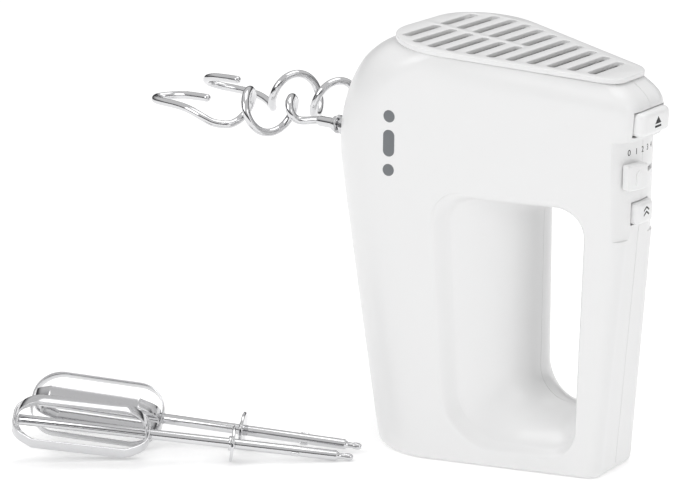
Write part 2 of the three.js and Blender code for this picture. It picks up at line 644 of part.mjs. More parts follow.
function buildMotor() {
  const motor = new THREE.Group();
  motor.position.x = MOTOR_X;
  group.add(motor);
  const core = prism(rectangle(CORE.side, CORE.side, CORE.corner), CORE.low, CORE.high, [poleSpace()]);
  add('stator_core', core, FINISH.core, motor);
  add('right_field_coil', fieldCoil(-1), FINISH.copper, motor);
  add('left_field_coil', fieldCoil(1), FINISH.copper, motor);
  add('motor_shaft', rod(SHAFT_R, SHAFT.low, SHAFT.high), FINISH.steel, motor);

  const slots = [];
  for (let k = 0; k < ROTOR_SLOTS; k++) {
    [[0, 0], [0.16, 0], [0.2, -2.6], [0.34, -2.6], [0.38, 0], [0.7, 0]].forEach(([share, dip]) => {
      const angle = (2 * Math.PI * (k + share)) / ROTOR_SLOTS;
      slots.push(new THREE.Vector2((ROTOR_R + dip) * Math.cos(angle), (ROTOR_R + dip) * Math.sin(angle)));
    });
  }
  const bore = SHAFT_R + GAP;
  add('armature_core', prism(slots, CORE.low, CORE.high, [circle(bore, 16)]), FINISH.core, motor);
  const winding = () =>
    turned([[bore, 0], [ROTOR_R - 1.6, 0], [ROTOR_R - 2, 4.2], [8.4, 5.6], [bore, 5.6], [bore, 0]]);
  const lowerWinding = winding().rotateX(Math.PI).translate(0, 0, CORE.low - GAP);
  add('lower_armature_winding', lowerWinding, FINISH.copper, motor);
  add('upper_armature_winding', winding().translate(0, 0, CORE.high + GAP), FINISH.copper, motor);

  const bars = [];
  for (let k = 0; k < ROTOR_SLOTS; k++) {
    [[0, 0], [0.84, 0], [0.86, -0.6], [0.98, -0.6]].forEach(([share, dip]) => {
      const angle = (2 * Math.PI * (k + share)) / ROTOR_SLOTS;
      const r = COMMUTATOR.radius + dip;
      bars.push(new THREE.Vector2(r * Math.cos(angle), r * Math.sin(angle)));
    });
  }
  add('commutator', prism(bars, COMMUTATOR.low, COMMUTATOR.high, [circle(bore, 16)]), FINISH.copper, motor);

  const fanHub = tube(bore, FAN.hub, FAN.low, FAN.high);
  const fanDisc = tube(bore, FAN.radius, FAN.high - 1.4, FAN.high, 20);
  const blades = Array.from({ length: FAN.blades }, (_, k) =>
    block([FAN.hub - 1, -0.6, FAN.low], [FAN.radius - 0.6, 0.6, FAN.high - 0.5]).rotateZ(
      (2 * Math.PI * k) / FAN.blades,
    ),
  );
  add('cooling_fan', union(fanHub, fanDisc, ...blades), FINISH.nylon, motor);

  [['right', -1], ['left', 1]].forEach(([name, side]) => {
    const near = COMMUTATOR.radius + GAP;
    const far = near + BRUSH.long;
    const mid = (COMMUTATOR.low + COMMUTATOR.high) / 2;
    const span = (a, b) => (side > 0 ? [a, b] : [-b, -a]);
    const [y0, y1] = span(near, far);
    const w = BRUSH.wide / 2;
    const h = BRUSH.high / 2;
    add(`${name}_brush`, block([-w, y0, mid - h], [w, y1, mid + h]), FINISH.carbon, motor);
    const sleeve = prism(rectangle(2 * w + 3, 2 * h + 3, 0.6, 1), 0, BRUSH.long - 1, [
      rectangle(2 * (w + GAP), 2 * (h + GAP), 0.2, 1),
    ]);
    sleeve.rotateX(-Math.PI / 2).translate(0, side > 0 ? near + 2 : -near - 1 - BRUSH.long, mid);
    add(`${name}_brush_holder`, sleeve, FINISH.brass, motor);
  });

  const bearing = 6;
  const bracket = bracketShape(
    BRACKET.low, BRACKET.high, BRACKET.low, CORE.low - GAP, bearing + GAP, BRACKET.side, BRACKET.side,
  );
  add('motor_bracket', bracket, FINISH.nylon, motor);
  const bush = (low, high) => tube(SHAFT_R + GAP, bearing, low, high, 16);
  add('lower_bearing', bush(BRACKET.low - 1.5, BRACKET.high - 0.5), FINISH.brass, motor);
  add('middle_bearing', bush(FRAME.low - 1, FRAME.low + FRAME.thick), FINISH.brass, motor);
  add('upper_bearing', bush(FRAME.high - FRAME.thick, FRAME.high + 0.8), FINISH.brass, motor);
  return bearing;
}

// ---------------------------------------------------------------- reduction gear
function buildGear(bearing) {
  const spindleRun = SPINDLE.radius + BUSH_WALL + 2 * GAP;
  const frontPlate = block(
    [FRAME.frontX, -FRAME.half, FRAME.low],
    [FRAME.frontX + FRAME.thick, FRAME.half, FRAME.high],
  );
  const rearPlate = block(
    [FRAME.rearX - FRAME.thick, -FRAME.half, FRAME.low],
    [FRAME.rearX, FRAME.half, FRAME.high],
  );
  const base = bracketShape(
    FRAME.low, FRAME.low + FRAME.thick, CORE.high + GAP, FRAME.low + 1, bearing + GAP, CORE.side, 2 * FRAME.half,
  ).translate([MOTOR_X, 0, 0]);
  const roof = block(
    [FRAME.frontX, -8, FRAME.high - FRAME.thick],
    [FRAME.rearX, 8, FRAME.high],
  );
  let frame = union(frontPlate, rearPlate, roof).add(base);
  const bearingSeat = rod(bearing + GAP, FRAME.high - 10, FRAME.high + 1);
  frame = frame.subtract(solid(bearingSeat.translate(MOTOR_X, 0, 0)));
  [-SPINDLE_Y, SPINDLE_Y].forEach((y) => {
    const hole = alongX(rod(spindleRun, FRAME.frontX - 5, FRAME.rearX + 5), y, SPINDLE_Z);
    frame = frame.subtract(solid(hole));
  });
  const trimLow = [MOTOR_X - 26, -FRAME.half - 1, FRAME.low - 1];
  const trim = block(trimLow, [FRAME.frontX, FRAME.half + 1, FRAME.high + 1]);
  add('gearbox_frame', frame.subtract(solid(trim)), FINISH.nylon);

  const wormLow = SPINDLE_Z - WORM.long / 2;
  const turns = Math.floor(WORM.long / WORM.pitch) - 1;
  const ridge = WORM.radius - WORM.root;
  const thread = coilSpring(WORM.root, ridge, wormLow + 1, wormLow + WORM.long - 1, turns);
  const wormBody = union(thread, rod(WORM.root, wormLow, wormLow + WORM.long));
  const worm = wormBody.subtract(solid(rod(SHAFT_R + GAP, wormLow - 1, wormLow + WORM.long + 1)));
  add('worm', worm.translate([MOTOR_X, 0, 0]), FINISH.steel);

  const wheelR = SPINDLE_Y - WORM.radius - GAP;
  [['right', -SPINDLE_Y], ['left', SPINDLE_Y]].forEach(([name, y]) => {
    const spindle = tube(SPINDLE.bore, SPINDLE.radius, SPINDLE.frontX, SPINDLE.rearX);
    add(`${name}_spindle`, alongX(spindle, y, SPINDLE_Z), FINISH.steel);
    const wheel = gearWheel(wheelR, WHEEL.thick, WHEEL.teeth, WHEEL.tooth, SPINDLE.radius + GAP);
    add(`${name}_worm_wheel`, alongX(wheel.translate(0, 0, MOTOR_X), y, SPINDLE_Z), FINISH.nylon);
    [['front', FRAME.frontX], ['rear', FRAME.rearX - FRAME.thick]].forEach(([place, x]) => {
      const bore = SPINDLE.radius + GAP;
      const bush = tube(bore, bore + BUSH_WALL, x - 0.6, x + FRAME.thick + 0.6, 16);
      add(`${name}_${place}_bush`, alongX(bush, y, SPINDLE_Z), FINISH.brass);
    });
  });
}

// ---------------------------------------------------------------- dough hooks
function hookPath(mirror) {
  const points = [vec(HOOK.bendX, 0, 0), vec(HOOK.bendX - 3, 0, 0)];
  const leadIn = [[-100, 0.3], [-62, 0.66], [-30, 0.92]];
  leadIn.forEach(([degrees, share]) => points.push(helixPoint(degrees, share * HOOK.radius)));
  for (let degrees = 0; degrees <= 540; degrees += 30) points.push(helixPoint(degrees, HOOK.radius));
  const lastX = HOOK.topX - 1.5 * HOOK.pitch;
  const tail = [
    [-5, -5.4, -9], [-10, -8.4, -6], [-17, -9, -3.6], [-25, -8.8, -2.6], [-34, -8.4, -2.4],
    [-41, -6, -2.8], [-44.5, -0.4, -3.2], [-41, 5.2, -3], [-34.5, 8, -2.4], [-27, 8.2, -2],
    [-18.5, 8.2, -1.8],
  ];
  tail.forEach(([x, y, z]) => points.push(vec(lastX + x, y, z)));
  const turn = mirror === 1 ? 0 : rad(HOOK.leftTurn);
  return points.map((p) => {
    const y = mirror * p.y;
    return vec(p.x, y * Math.cos(turn) + p.z * Math.sin(turn), p.z * Math.cos(turn) - y * Math.sin(turn));
  });
}

function helixPoint(degrees, radius) {
  const x = HOOK.topX - (HOOK.pitch * degrees) / 360;
  const drop = (HOOK.drop * radius) / HOOK.radius;
  return vec(x, radius * Math.sin(rad(degrees)), radius * Math.cos(rad(degrees)) - drop);
}

function buildHooks() {
  [['right', -1], ['left', 1]].forEach(([name, side]) => {
    const y = side * SPINDLE_Y;
    const wire = wireAlong(hookPath(side === -1 ? 1 : -1), HOOK.wireR, 58, 5);
    const shaft = alongX(rod(HOOK.shaftR, HOOK.bendX - 2, SHANK.frontX, 12));
    const socket = alongX(rod(SHANK.tangR + GAP, SHANK.tangX - GAP, SHANK.frontX + 1, 10));
    const hook = union(shaft, wire).subtract(solid(socket)).translate([0, y, SPINDLE_Z]);
    add(`${name}_dough_hook`, hook, FINISH.steel);
    const tang = alongX(rod(SHANK.tangR, SHANK.tangX, SHANK.frontX + 2, 10));
    const shank = union(alongX(rod(HOOK.shaftR, SHANK.frontX + GAP, HOOK.innerX, 12)), tang);
    add(`${name}_hook_shank`, shank.translate([0, y, SPINDLE_Z]), FINISH.steel);
    const c = HOOK_COLLAR;
    const bore = HOOK.shaftR + GAP;
    const profile = [
      [bore, -c.hubLong], [c.hub, -c.hubLong], [c.hub, -c.thick / 2], [c.radius, -c.thick / 2],
      [c.radius, c.thick / 2], [bore, c.thick / 2], [bore, -c.hubLong],
    ];
    add(`${name}_hook_collar`, alongX(turned(profile).translate(0, 0, c.x), y, SPINDLE_Z), FINISH.steel);
  });
}

// ---------------------------------------------------------------- beaters
function beaterLoop(inset, turn) {
  const long = BEATER.cage - 2 * inset;
  const wide = 2 * BEATER.radius - 2 * inset;
  const outer = rectangle(long, wide, BEATER.cornerR - inset, 6);
  const innerR = BEATER.cornerR - inset - BEATER.strip;
  const inner = rectangle(long - 2 * BEATER.strip, wide - 2 * BEATER.strip, innerR, 6);
  const loop = prism(outer, -BEATER.wide / 2, BEATER.wide / 2, [inner]);
  return loop.translate(BEATER.cage / 2, 0, 0).rotateX(turn);
}

// The loop with a hole where the shaft passes through its end.
function pierced(loop) {
  const hole = alongX(rod(BEATER.shaftR + GAP, BEATER.cage - 8, BEATER.cage + 5, 12));
  return solid(loop).subtract(solid(hole));
}

function buildBeaters() {
  const inner = BEATER.strip + GAP;
  BEATERS.forEach((place) => {
    const beater = new THREE.Group();
    group.add(beater);
    const shaftLow = inner + BEATER.strip + GAP;
    const tip = BEATER.long - BEATER_TIP.long;
    const profile = [
      [0, shaftLow], [BEATER.shaftR, shaftLow], [BEATER.shaftR, tip], [BEATER_TIP.neck, tip + 1.4],
      [BEATER_TIP.neck, tip + 3.4], [BEATER_TIP.bulb, tip + 4.6], [BEATER_TIP.bulb, tip + 6.6],
      [0.8, BEATER.long], [0, BEATER.long],
    ];
    const l = BEATER_LUG;
    const half = [l.long / 2, l.wide / 2, l.thick / 2];
    const lug = block([l.at - half[0], -half[1], -half[2]], [l.at + half[0], half[1], half[2]]);
    const shaft = union(alongX(turned(profile, 12)), lug);
    add(`${place.name}_beater_shaft`, shaft, FINISH.steel, beater);
    add(`${place.name}_beater_outer_loop`, pierced(beaterLoop(0, 0)), FINISH.steel, beater);
    add(`${place.name}_beater_inner_loop`, pierced(beaterLoop(inner, Math.PI / 2)), FINISH.steel, beater);
    const c = BEATER_COLLAR;
    const bore = BEATER.shaftR + GAP;
    const collar = [
      [bore, c.at - c.hubLong], [c.hub, c.at - c.hubLong], [c.hub, c.at - c.thick / 2],
      [c.radius, c.at - c.thick / 2], [c.radius, c.at + c.thick / 2], [bore, c.at + c.thick / 2],
      [bore, c.at - c.hubLong],
    ];
    add(`${place.name}_beater_collar`, alongX(turned(collar)), FINISH.steel, beater);
    beater.rotation.order = 'ZYX';
    beater.rotation.set(rad(place.roll), rad(place.pitch), rad(place.yaw));
    beater.position.set(place.x, place.y, 0);
    beater.updateMatrixWorld(true);
    beater.position.z = -new THREE.Box3().setFromObject(beater, true).min.z;
  });
}

buildCasing();
buildControls();
const bearing = buildMotor();
buildGear(bearing);
buildHooks();
buildBeaters();

export default group;
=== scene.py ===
"""Visual model of a hand mixer with two dough hooks and two beaters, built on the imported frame.

Every sub-assembly is a class that holds its sizes, builds its pieces and dresses them. Shape sizes are in
millimetres, and meshes are made in metres. Places come from the frame's own boxes wherever a node has one.
"""

from __future__ import annotations

import json
import logging
import math
from dataclasses import dataclass
from enum import Enum
from typing import Callable, Iterable, Sequence

import bmesh
import bpy
import numpy as np
from mathutils import Matrix, Vector

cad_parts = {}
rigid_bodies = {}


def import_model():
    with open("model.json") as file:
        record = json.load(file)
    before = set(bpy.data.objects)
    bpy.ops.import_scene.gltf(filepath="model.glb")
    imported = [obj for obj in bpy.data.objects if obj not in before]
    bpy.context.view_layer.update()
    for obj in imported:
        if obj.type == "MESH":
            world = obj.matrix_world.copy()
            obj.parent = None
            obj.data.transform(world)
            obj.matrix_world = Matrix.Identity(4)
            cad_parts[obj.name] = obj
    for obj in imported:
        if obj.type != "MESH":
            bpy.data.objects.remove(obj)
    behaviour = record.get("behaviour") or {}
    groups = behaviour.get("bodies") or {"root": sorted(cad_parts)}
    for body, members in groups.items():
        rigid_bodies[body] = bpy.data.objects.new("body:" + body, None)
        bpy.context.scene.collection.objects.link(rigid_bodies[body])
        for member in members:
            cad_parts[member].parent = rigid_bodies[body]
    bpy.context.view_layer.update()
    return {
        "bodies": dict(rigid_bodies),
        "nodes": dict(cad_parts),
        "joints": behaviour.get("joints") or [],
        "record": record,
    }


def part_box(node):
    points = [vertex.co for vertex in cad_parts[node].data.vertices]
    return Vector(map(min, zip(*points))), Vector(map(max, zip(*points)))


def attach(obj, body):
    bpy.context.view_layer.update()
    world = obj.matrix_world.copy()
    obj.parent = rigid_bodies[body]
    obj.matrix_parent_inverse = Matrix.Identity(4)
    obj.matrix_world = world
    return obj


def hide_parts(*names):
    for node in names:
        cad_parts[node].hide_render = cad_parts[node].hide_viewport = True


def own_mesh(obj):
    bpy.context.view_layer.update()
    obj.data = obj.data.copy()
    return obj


MM = 0.001
LOG = logging.getLogger("hand_mixer")

Ring = np.ndarray
Nodes = bpy.types.NodeTree


class Boolean(Enum):
    """The three ways of combining two solids."""

    CUT = "DIFFERENCE"
    JOIN = "UNION"
    KEEP = "INTERSECT"


class Side(Enum):
    """The two sides of the mixer, by the sign of Y."""

    RIGHT = -1
    LEFT = 1


# ---------------------------------------------------------------- outlines and meshes
def rounded(corners: Sequence[tuple[float, float]], radii: Sequence[float], arc: int, side: int = 0) -> Ring:
    """Rounds the corners of an anticlockwise polygon.

    Args:
        corners: the sharp corners.
        radii: one radius for each corner.
        arc: straight pieces in each rounded corner.
        side: extra points along each straight side.

    Returns:
        The outline's points, with the same count whatever the radii.
    """
    pts = [np.array(c, float) for c in corners]
    arcs: list[Ring] = []
    for i, corner in enumerate(pts):
        to_last = pts[i - 1] - corner
        to_next = pts[(i + 1) % len(pts)] - corner
        far_last, far_next = np.linalg.norm(to_last), np.linalg.norm(to_next)
        u, v = to_last / far_last, to_next / far_next
        half = math.acos(float(np.clip(u @ v, -1, 1))) / 2
        reach = min(radii[i] / math.tan(half), 0.48 * far_last, 0.48 * far_next)
        radius = reach * math.tan(half)
        bisector = (u + v) / np.linalg.norm(u + v)
        middle = corner + bisector * radius / math.sin(half)
        start = corner + u * reach - middle
        first = math.atan2(start[1], start[0])
        angles = first + (math.pi - 2 * half) * np.linspace(0, 1, arc + 1)
        arcs.append(middle + radius * np.stack([np.cos(angles), np.sin(angles)], 1))
    out: list[Ring] = []
    for i, points in enumerate(arcs):
        out.append(points)
        a, b = points[-1], arcs[(i + 1) % len(arcs)][0]
        share = np.linspace(0, 1, side + 2)[1:-1, None]
        out.append(a + (b - a) * share)
    return np.concatenate(out)


def box_outline(long: float, wide: float, radius: float, arc: int = 8, side: int = 0) -> Ring:
    """A rounded rectangle about the middle."""
    a, b = long / 2, wide / 2
    return rounded([(a, -b), (a, b), (-a, b), (-a, -b)], [radius] * 4, arc, side)


def circle(radius: float, steps: int = 48) -> Ring:
    """A circle about the middle, anticlockwise."""
    angle = np.linspace(0, 2 * math.pi, steps, endpoint=False)
    return radius * np.stack([np.cos(angle), np.sin(angle)], 1)


def raised(outline: Ring, z: float) -> Ring:
    """The outline as points at height z."""
    return np.column_stack([outline, np.full(len(outline), z)])


@dataclass
class Solid:
    """Points in millimetres with faces, before it becomes a mesh."""

    points: np.ndarray
    faces: list[list[int]]

    @classmethod
    def loft(cls, rings: Sequence[Ring]) -> "Solid":
        """A closed skin over rings that have the same number of points."""
        count, total = len(rings[0]), len(rings)
        faces = []
        for r in range(total - 1):
            for k in range(count):
                a, b = r * count + k, r * count + (k + 1) % count
                faces.append([a, b, b + count, a + count])
        faces.append(list(range(count))[::-1])
        faces.append([(total - 1) * count + k for k in range(count)])
        return cls(np.concatenate(rings), faces)

    @classmethod
    def turned(cls, profile: Sequence[tuple[float, float]], steps: int = 48) -> "Solid":
        """A solid of revolution on Z from (radius, height) pairs, closed or with both ends on the axis."""
        rings = [raised(circle(r, steps), z) for r, z in profile if r > 0]
        if profile[0] == profile[-1]:
            body = cls.loft(rings[:-1])
            count, last = steps, (len(rings) - 2) * steps
            body.faces = body.faces[:-2]
            for k in range(count):
                n = (k + 1) % count
                body.faces.append([last + k, last + n, n, k])
            return body
        return cls.loft(rings)

    @classmethod
    def prism(cls, outline: Ring, low: float, high: float) -> "Solid":
        """An outline raised from low to high."""
        return cls.loft([raised(outline, low), raised(outline, high)])

    @classmethod
    def joined(cls, solids: Iterable["Solid"]) -> "Solid":
        """Several solids as one."""
        points, faces, base = [], [], 0
        for s in solids:
            points.append(s.points)
            faces += [[i + base for i in f] for f in s.faces]
            base += len(s.points)
        return cls(np.concatenate(points), faces)

    def placed(self, matrix: Matrix) -> "Solid":
        """The solid moved by a matrix in millimetres."""
        m = np.array(matrix)
        return Solid(self.points @ m[:3, :3].T + m[:3, 3], self.faces)

    def moved(self, x: float = 0, y: float = 0, z: float = 0) -> "Solid":
        """The solid moved by a distance."""
        return Solid(self.points + np.array([x, y, z]), self.faces)

    def mesh(self, name: str) -> bpy.types.Mesh:
        """The solid as a mesh in metres with its faces outwards."""
        mesh = bpy.data.meshes.new(name)
        mesh.from_pydata((self.points * MM).tolist(), [], self.faces)
        face_outwards(mesh)
        return mesh


ALONG_X = Matrix.Rotation(math.pi / 2, 4, "Y")
ALONG_Y = Matrix.Rotation(-math.pi / 2, 4, "X")


def face_outwards(mesh: bpy.types.Mesh) -> None:
    """Turns a closed mesh's faces outwards."""
    work = bmesh.new()
    work.from_mesh(mesh)
    bmesh.ops.recalc_face_normals(work, faces=work.faces)
    work.to_mesh(mesh)
    work.free()


def show(
    name: str, mesh: bpy.types.Mesh, material: bpy.types.Material, crease: float = 35.0
) -> bpy.types.Object:
    """Puts a mesh in the scene as a smooth piece with one material.

    Args:
        name: the piece's name.
        mesh: its mesh, already in place.
        material: its finish.
        crease: edges sharper than this many degrees stay sharp.

    Returns:
        The new object, at the origin.
    """
    mesh.materials.clear()
    mesh.materials.append(material)
    mesh.polygons.foreach_set("material_index", [0] * len(mesh.polygons))
    mesh.shade_smooth()
    mesh.set_sharp_from_angle(angle=math.radians(crease))
    obj = bpy.data.objects.new(name, mesh)
    bpy.context.scene.collection.objects.link(obj)
    return obj


def evaluated(obj: bpy.types.Object, name: str) -> bpy.types.Mesh:
    """The object's mesh with its modifiers worked out, as a plain mesh; the object is removed."""
    bpy.context.view_layer.update()
    graph = bpy.context.evaluated_depsgraph_get()
    mesh = bpy.data.meshes.new_from_object(obj.evaluated_get(graph))
    mesh.name = name
    bpy.data.objects.remove(obj)
    return mesh


def loose(mesh: bpy.types.Mesh) -> bpy.types.Object:
    """A scratch object for a mesh."""
    obj = bpy.data.objects.new(mesh.name, mesh)
    bpy.context.scene.collection.objects.link(obj)
    return obj


def combine(mesh: bpy.types.Mesh, way: Boolean, *tools: bpy.types.Mesh) -> bpy.types.Mesh:
    """Combines a mesh with each tool in turn.

    Args:
        mesh: the mesh to work on.
        way: cut, join or keep.
        tools: closed meshes in the same place.

    Returns:
        A new mesh.
    """
    base = loose(mesh)
    others = [loose(tool) for tool in tools]
    for other in others:
        step = base.modifiers.new("combine", "BOOLEAN")
        step.operation = way.value
        step.solver = "EXACT"
        step.object = other
    result = evaluated(base, mesh.name)
    for other in others:
        bpy.data.objects.remove(other)
    return result


def plate(name: str, outlines: Sequence[Ring], thick: float, bevel: float, steps: int = 3) -> bpy.types.Mesh:
    """A flat plate with holes and rounded edges, made from flat curves.

    Args:
        name: the mesh's name.
        outlines: the outer outline, then its holes, in millimetres.
        thick: full thickness; the plate lies about z = 0.
        bevel: radius of its edges.
        steps: straight pieces in each rounded edge.

    Returns:
        The plate's mesh, in metres.
    """
    curve = bpy.data.curves.new(name, "CURVE")
    curve.dimensions = "2D"
    curve.fill_mode = "BOTH"
    curve.extrude = (thick / 2 - bevel) * MM
    curve.bevel_depth = bevel * MM
    curve.bevel_resolution = steps
    curve.offset = -bevel * MM
    for outline in outlines:
        spline = curve.splines.new("POLY")
        spline.points.add(len(outline) - 1)
        for point, (x, y) in zip(spline.points, outline):
            point.co = (x * MM, y * MM, 0, 1)
        spline.use_cyclic_u = True
    obj = bpy.data.objects.new(name, curve)
    bpy.context.scene.collection.objects.link(obj)
    mesh = evaluated(obj, name)
    bpy.data.curves.remove(curve)
    work = bmesh.new()
    work.from_mesh(mesh)
    bmesh.ops.remove_doubles(work, verts=work.verts, dist=1e-6)
    bmesh.ops.recalc_face_normals(work, faces=work.faces)
    work.to_mesh(mesh)
    work.free()
    return mesh


def joined_mesh(name: str, meshes: Sequence[bpy.types.Mesh]) -> bpy.types.Mesh:
    """Several meshes as one mesh."""
    work = bmesh.new()
    for mesh in meshes:
        work.from_mesh(mesh)
    out = bpy.data.meshes.new(name)
    work.to_mesh(out)
    work.free()
    return out


def shaped(mesh: bpy.types.Mesh, rule: Callable[[np.ndarray], np.ndarray]) -> bpy.types.Mesh:
    """Moves a mesh's points by a rule in millimetres."""
    co = np.zeros(len(mesh.vertices) * 3)
    mesh.vertices.foreach_get("co", co)
    points = rule(co.reshape(-1, 3) / MM) * MM
    mesh.vertices.foreach_set("co", points.ravel())
    mesh.update()
    return mesh


# ---------------------------------------------------------------- geometry nodes
class Growth:
    """Geometry Nodes groups that sweep wire and strip and wind springs."""

    def __init__(self) -> None:
        self.wire = self._wire()
        self.strip = self._strip()
        self.spring = self._spring()

    @staticmethod
    def _group(
        name: str, inputs: Sequence[tuple[str, str, float]]
    ) -> tuple[Nodes, bpy.types.Node, bpy.types.Node]:
        """A new group with a geometry input, the named inputs and a geometry output."""
        tree = bpy.data.node_groups.new(name, "GeometryNodeTree")
        tree.is_modifier = True
        tree.interface.new_socket("Geometry", in_out="INPUT", socket_type="NodeSocketGeometry")
        for label, kind, value in inputs:
            socket = tree.interface.new_socket(label, in_out="INPUT", socket_type=kind)
            if kind != "NodeSocketMaterial":
                socket.default_value = value
        tree.interface.new_socket("Geometry", in_out="OUTPUT", socket_type="NodeSocketGeometry")
        return tree, tree.nodes.new("NodeGroupInput"), tree.nodes.new("NodeGroupOutput")

    @staticmethod
    def _finish(tree: Nodes, given: bpy.types.Node, out: bpy.types.Node, shape: bpy.types.NodeSocket) -> None:
        """Ends a group: real geometry, smooth, with the material set."""
        real = tree.nodes.new("GeometryNodeRealizeInstances")
        smooth = tree.nodes.new("GeometryNodeSetShadeSmooth")
        paint = tree.nodes.new("GeometryNodeSetMaterial")
        tree.links.new(shape, real.inputs[0])
        tree.links.new(real.outputs[0], smooth.inputs[0])
        tree.links.new(smooth.outputs[0], paint.inputs["Geometry"])
        tree.links.new(given.outputs["Material"], paint.inputs["Material"])
        tree.links.new(paint.outputs[0], out.inputs[0])

    @staticmethod
    def _math(tree: Nodes, kind: str, a: object, b: object = 0.0) -> bpy.types.NodeSocket:
        """A maths node on two sockets or numbers."""
        node = tree.nodes.new("ShaderNodeMath")
        node.operation = kind
        for socket, value in zip(node.inputs, (a, b)):
            if isinstance(value, bpy.types.NodeSocket):
                tree.links.new(value, socket)
            else:
                socket.default_value = value
        return node.outputs[0]

    def _wire(self) -> Nodes:
        """Round wire along a path, with half-round ends."""
        tree, given, out = self._group(
            "grow_wire",
            [
                ("Radius", "NodeSocketFloat", 0.001),
                ("Sides", "NodeSocketInt", 16),
                ("Material", "NodeSocketMaterial", 0),
            ],
        )
        path = tree.nodes.new("GeometryNodeMeshToCurve")
        place = tree.nodes.new("GeometryNodeSplineParameter")
        length = tree.nodes.new("GeometryNodeSplineLength")
        ring = tree.nodes.new("GeometryNodeCurvePrimitiveCircle")
        sweep = tree.nodes.new("GeometryNodeCurveToMesh")
        left = self._math(tree, "SUBTRACT", length.outputs["Length"], place.outputs["Length"])
        near = self._math(tree, "MINIMUM", left, place.outputs["Length"])
        depth = self._math(tree, "MINIMUM", self._math(tree, "DIVIDE", near, given.outputs["Radius"]), 1.0)
        rest = self._math(tree, "SUBTRACT", 1.0, depth)
        square = self._math(tree, "SUBTRACT", 1.0004, self._math(tree, "MULTIPLY", rest, rest))
        tree.links.new(given.outputs["Geometry"], path.inputs["Mesh"])
        tree.links.new(given.outputs["Radius"], ring.inputs["Radius"])
        tree.links.new(given.outputs["Sides"], ring.inputs["Resolution"])
        tree.links.new(path.outputs[0], sweep.inputs["Curve"])
        tree.links.new(ring.outputs[0], sweep.inputs["Profile Curve"])
        tree.links.new(self._math(tree, "SQRT", square), sweep.inputs["Scale"])
        sweep.inputs["Fill Caps"].default_value = True
        self._finish(tree, given, out, sweep.outputs[0])
        return tree

    def _strip(self) -> Nodes:
        """Flat strip along a path in the XY plane, standing on edge."""
        tree, given, out = self._group(
            "grow_strip",
            [
                ("Width", "NodeSocketFloat", 0.005),
                ("Thickness", "NodeSocketFloat", 0.001),
                ("Edge", "NodeSocketFloat", 0.0003),
                ("Material", "NodeSocketMaterial", 0),
            ],
        )
        path = tree.nodes.new("GeometryNodeMeshToCurve")
        upright = tree.nodes.new("GeometryNodeSetCurveNormal")
        section = tree.nodes.new("GeometryNodeCurvePrimitiveQuadrilateral")
        fillet = tree.nodes.new("GeometryNodeFilletCurve")
        sweep = tree.nodes.new("GeometryNodeCurveToMesh")
        upright.mode = "Z_UP"
        fillet.mode = "POLY"
        fillet.inputs["Count"].default_value = 2
        tree.links.new(given.outputs["Geometry"], path.inputs["Mesh"])
        tree.links.new(path.outputs[0], upright.inputs[0])
        tree.links.new(given.outputs["Thickness"], section.inputs["Width"])
        tree.links.new(given.outputs["Width"], section.inputs["Height"])
        tree.links.new(section.outputs[0], fillet.inputs["Curve"])
        tree.links.new(given.outputs["Edge"], fillet.inputs["Radius"])
        tree.links.new(upright.outputs[0], sweep.inputs["Curve"])
        tree.links.new(fillet.outputs[0], sweep.inputs["Profile Curve"])
        self._finish(tree, given, out, sweep.outputs[0])
        return tree

    def _spring(self) -> Nodes:
        """A coil spring on Z from the ground up."""
        tree, given, out = self._group(
            "grow_spring",
            [
                ("Radius", "NodeSocketFloat", 0.004),
                ("Wire", "NodeSocketFloat", 0.0004),
                ("Height", "NodeSocketFloat", 0.01),
                ("Turns", "NodeSocketFloat", 6.0),
                ("Material", "NodeSocketMaterial", 0),
            ],
        )
        helix = tree.nodes.new("GeometryNodeCurveSpiral")
        ring = tree.nodes.new("GeometryNodeCurvePrimitiveCircle")
        sweep = tree.nodes.new("GeometryNodeCurveToMesh")
        helix.inputs["Resolution"].default_value = 32
        ring.inputs["Resolution"].default_value = 10
        tree.links.new(given.outputs["Turns"], helix.inputs["Rotations"])
        for name in ("Start Radius", "End Radius"):
            tree.links.new(given.outputs["Radius"], helix.inputs[name])
        tree.links.new(given.outputs["Height"], helix.inputs["Height"])
        tree.links.new(given.outputs["Wire"], ring.inputs["Radius"])
        tree.links.new(helix.outputs[0], sweep.inputs["Curve"])
        tree.links.new(ring.outputs[0], sweep.inputs["Profile Curve"])
        sweep.inputs["Fill Caps"].default_value = True
        self._finish(tree, given, out, sweep.outputs[0])
        return tree

    def grow(self, tree: Nodes, name: str, path: Ring, closed: bool, **values: object) -> bpy.types.Mesh:
        """Runs a group on a path and gives the result as a plain mesh.

        Args:
            tree: one of this object's groups.
            name: the mesh's name.
            path: the path's points in millimetres.
            closed: whether the path's ends meet.
            values: the group's named inputs; underscores stand for spaces.

        Returns:
            The grown mesh.
        """
        count = len(path)
        edges = [(k, k + 1) for k in range(count - 1)]
        if closed:
            edges.append((count - 1, 0))
        mesh = bpy.data.meshes.new(name)
        mesh.from_pydata((np.asarray(path) * MM).tolist(), edges, [])
        obj = loose(mesh)
        step = obj.modifiers.new("grow", "NODES")
        step.node_group = tree
        sockets = {item.name: item.identifier for item in tree.interface.items_tree if item.in_out == "INPUT"}
        for label, value in values.items():
            step[sockets[label.replace("_", " ")]] = value
        return evaluated(obj, name)


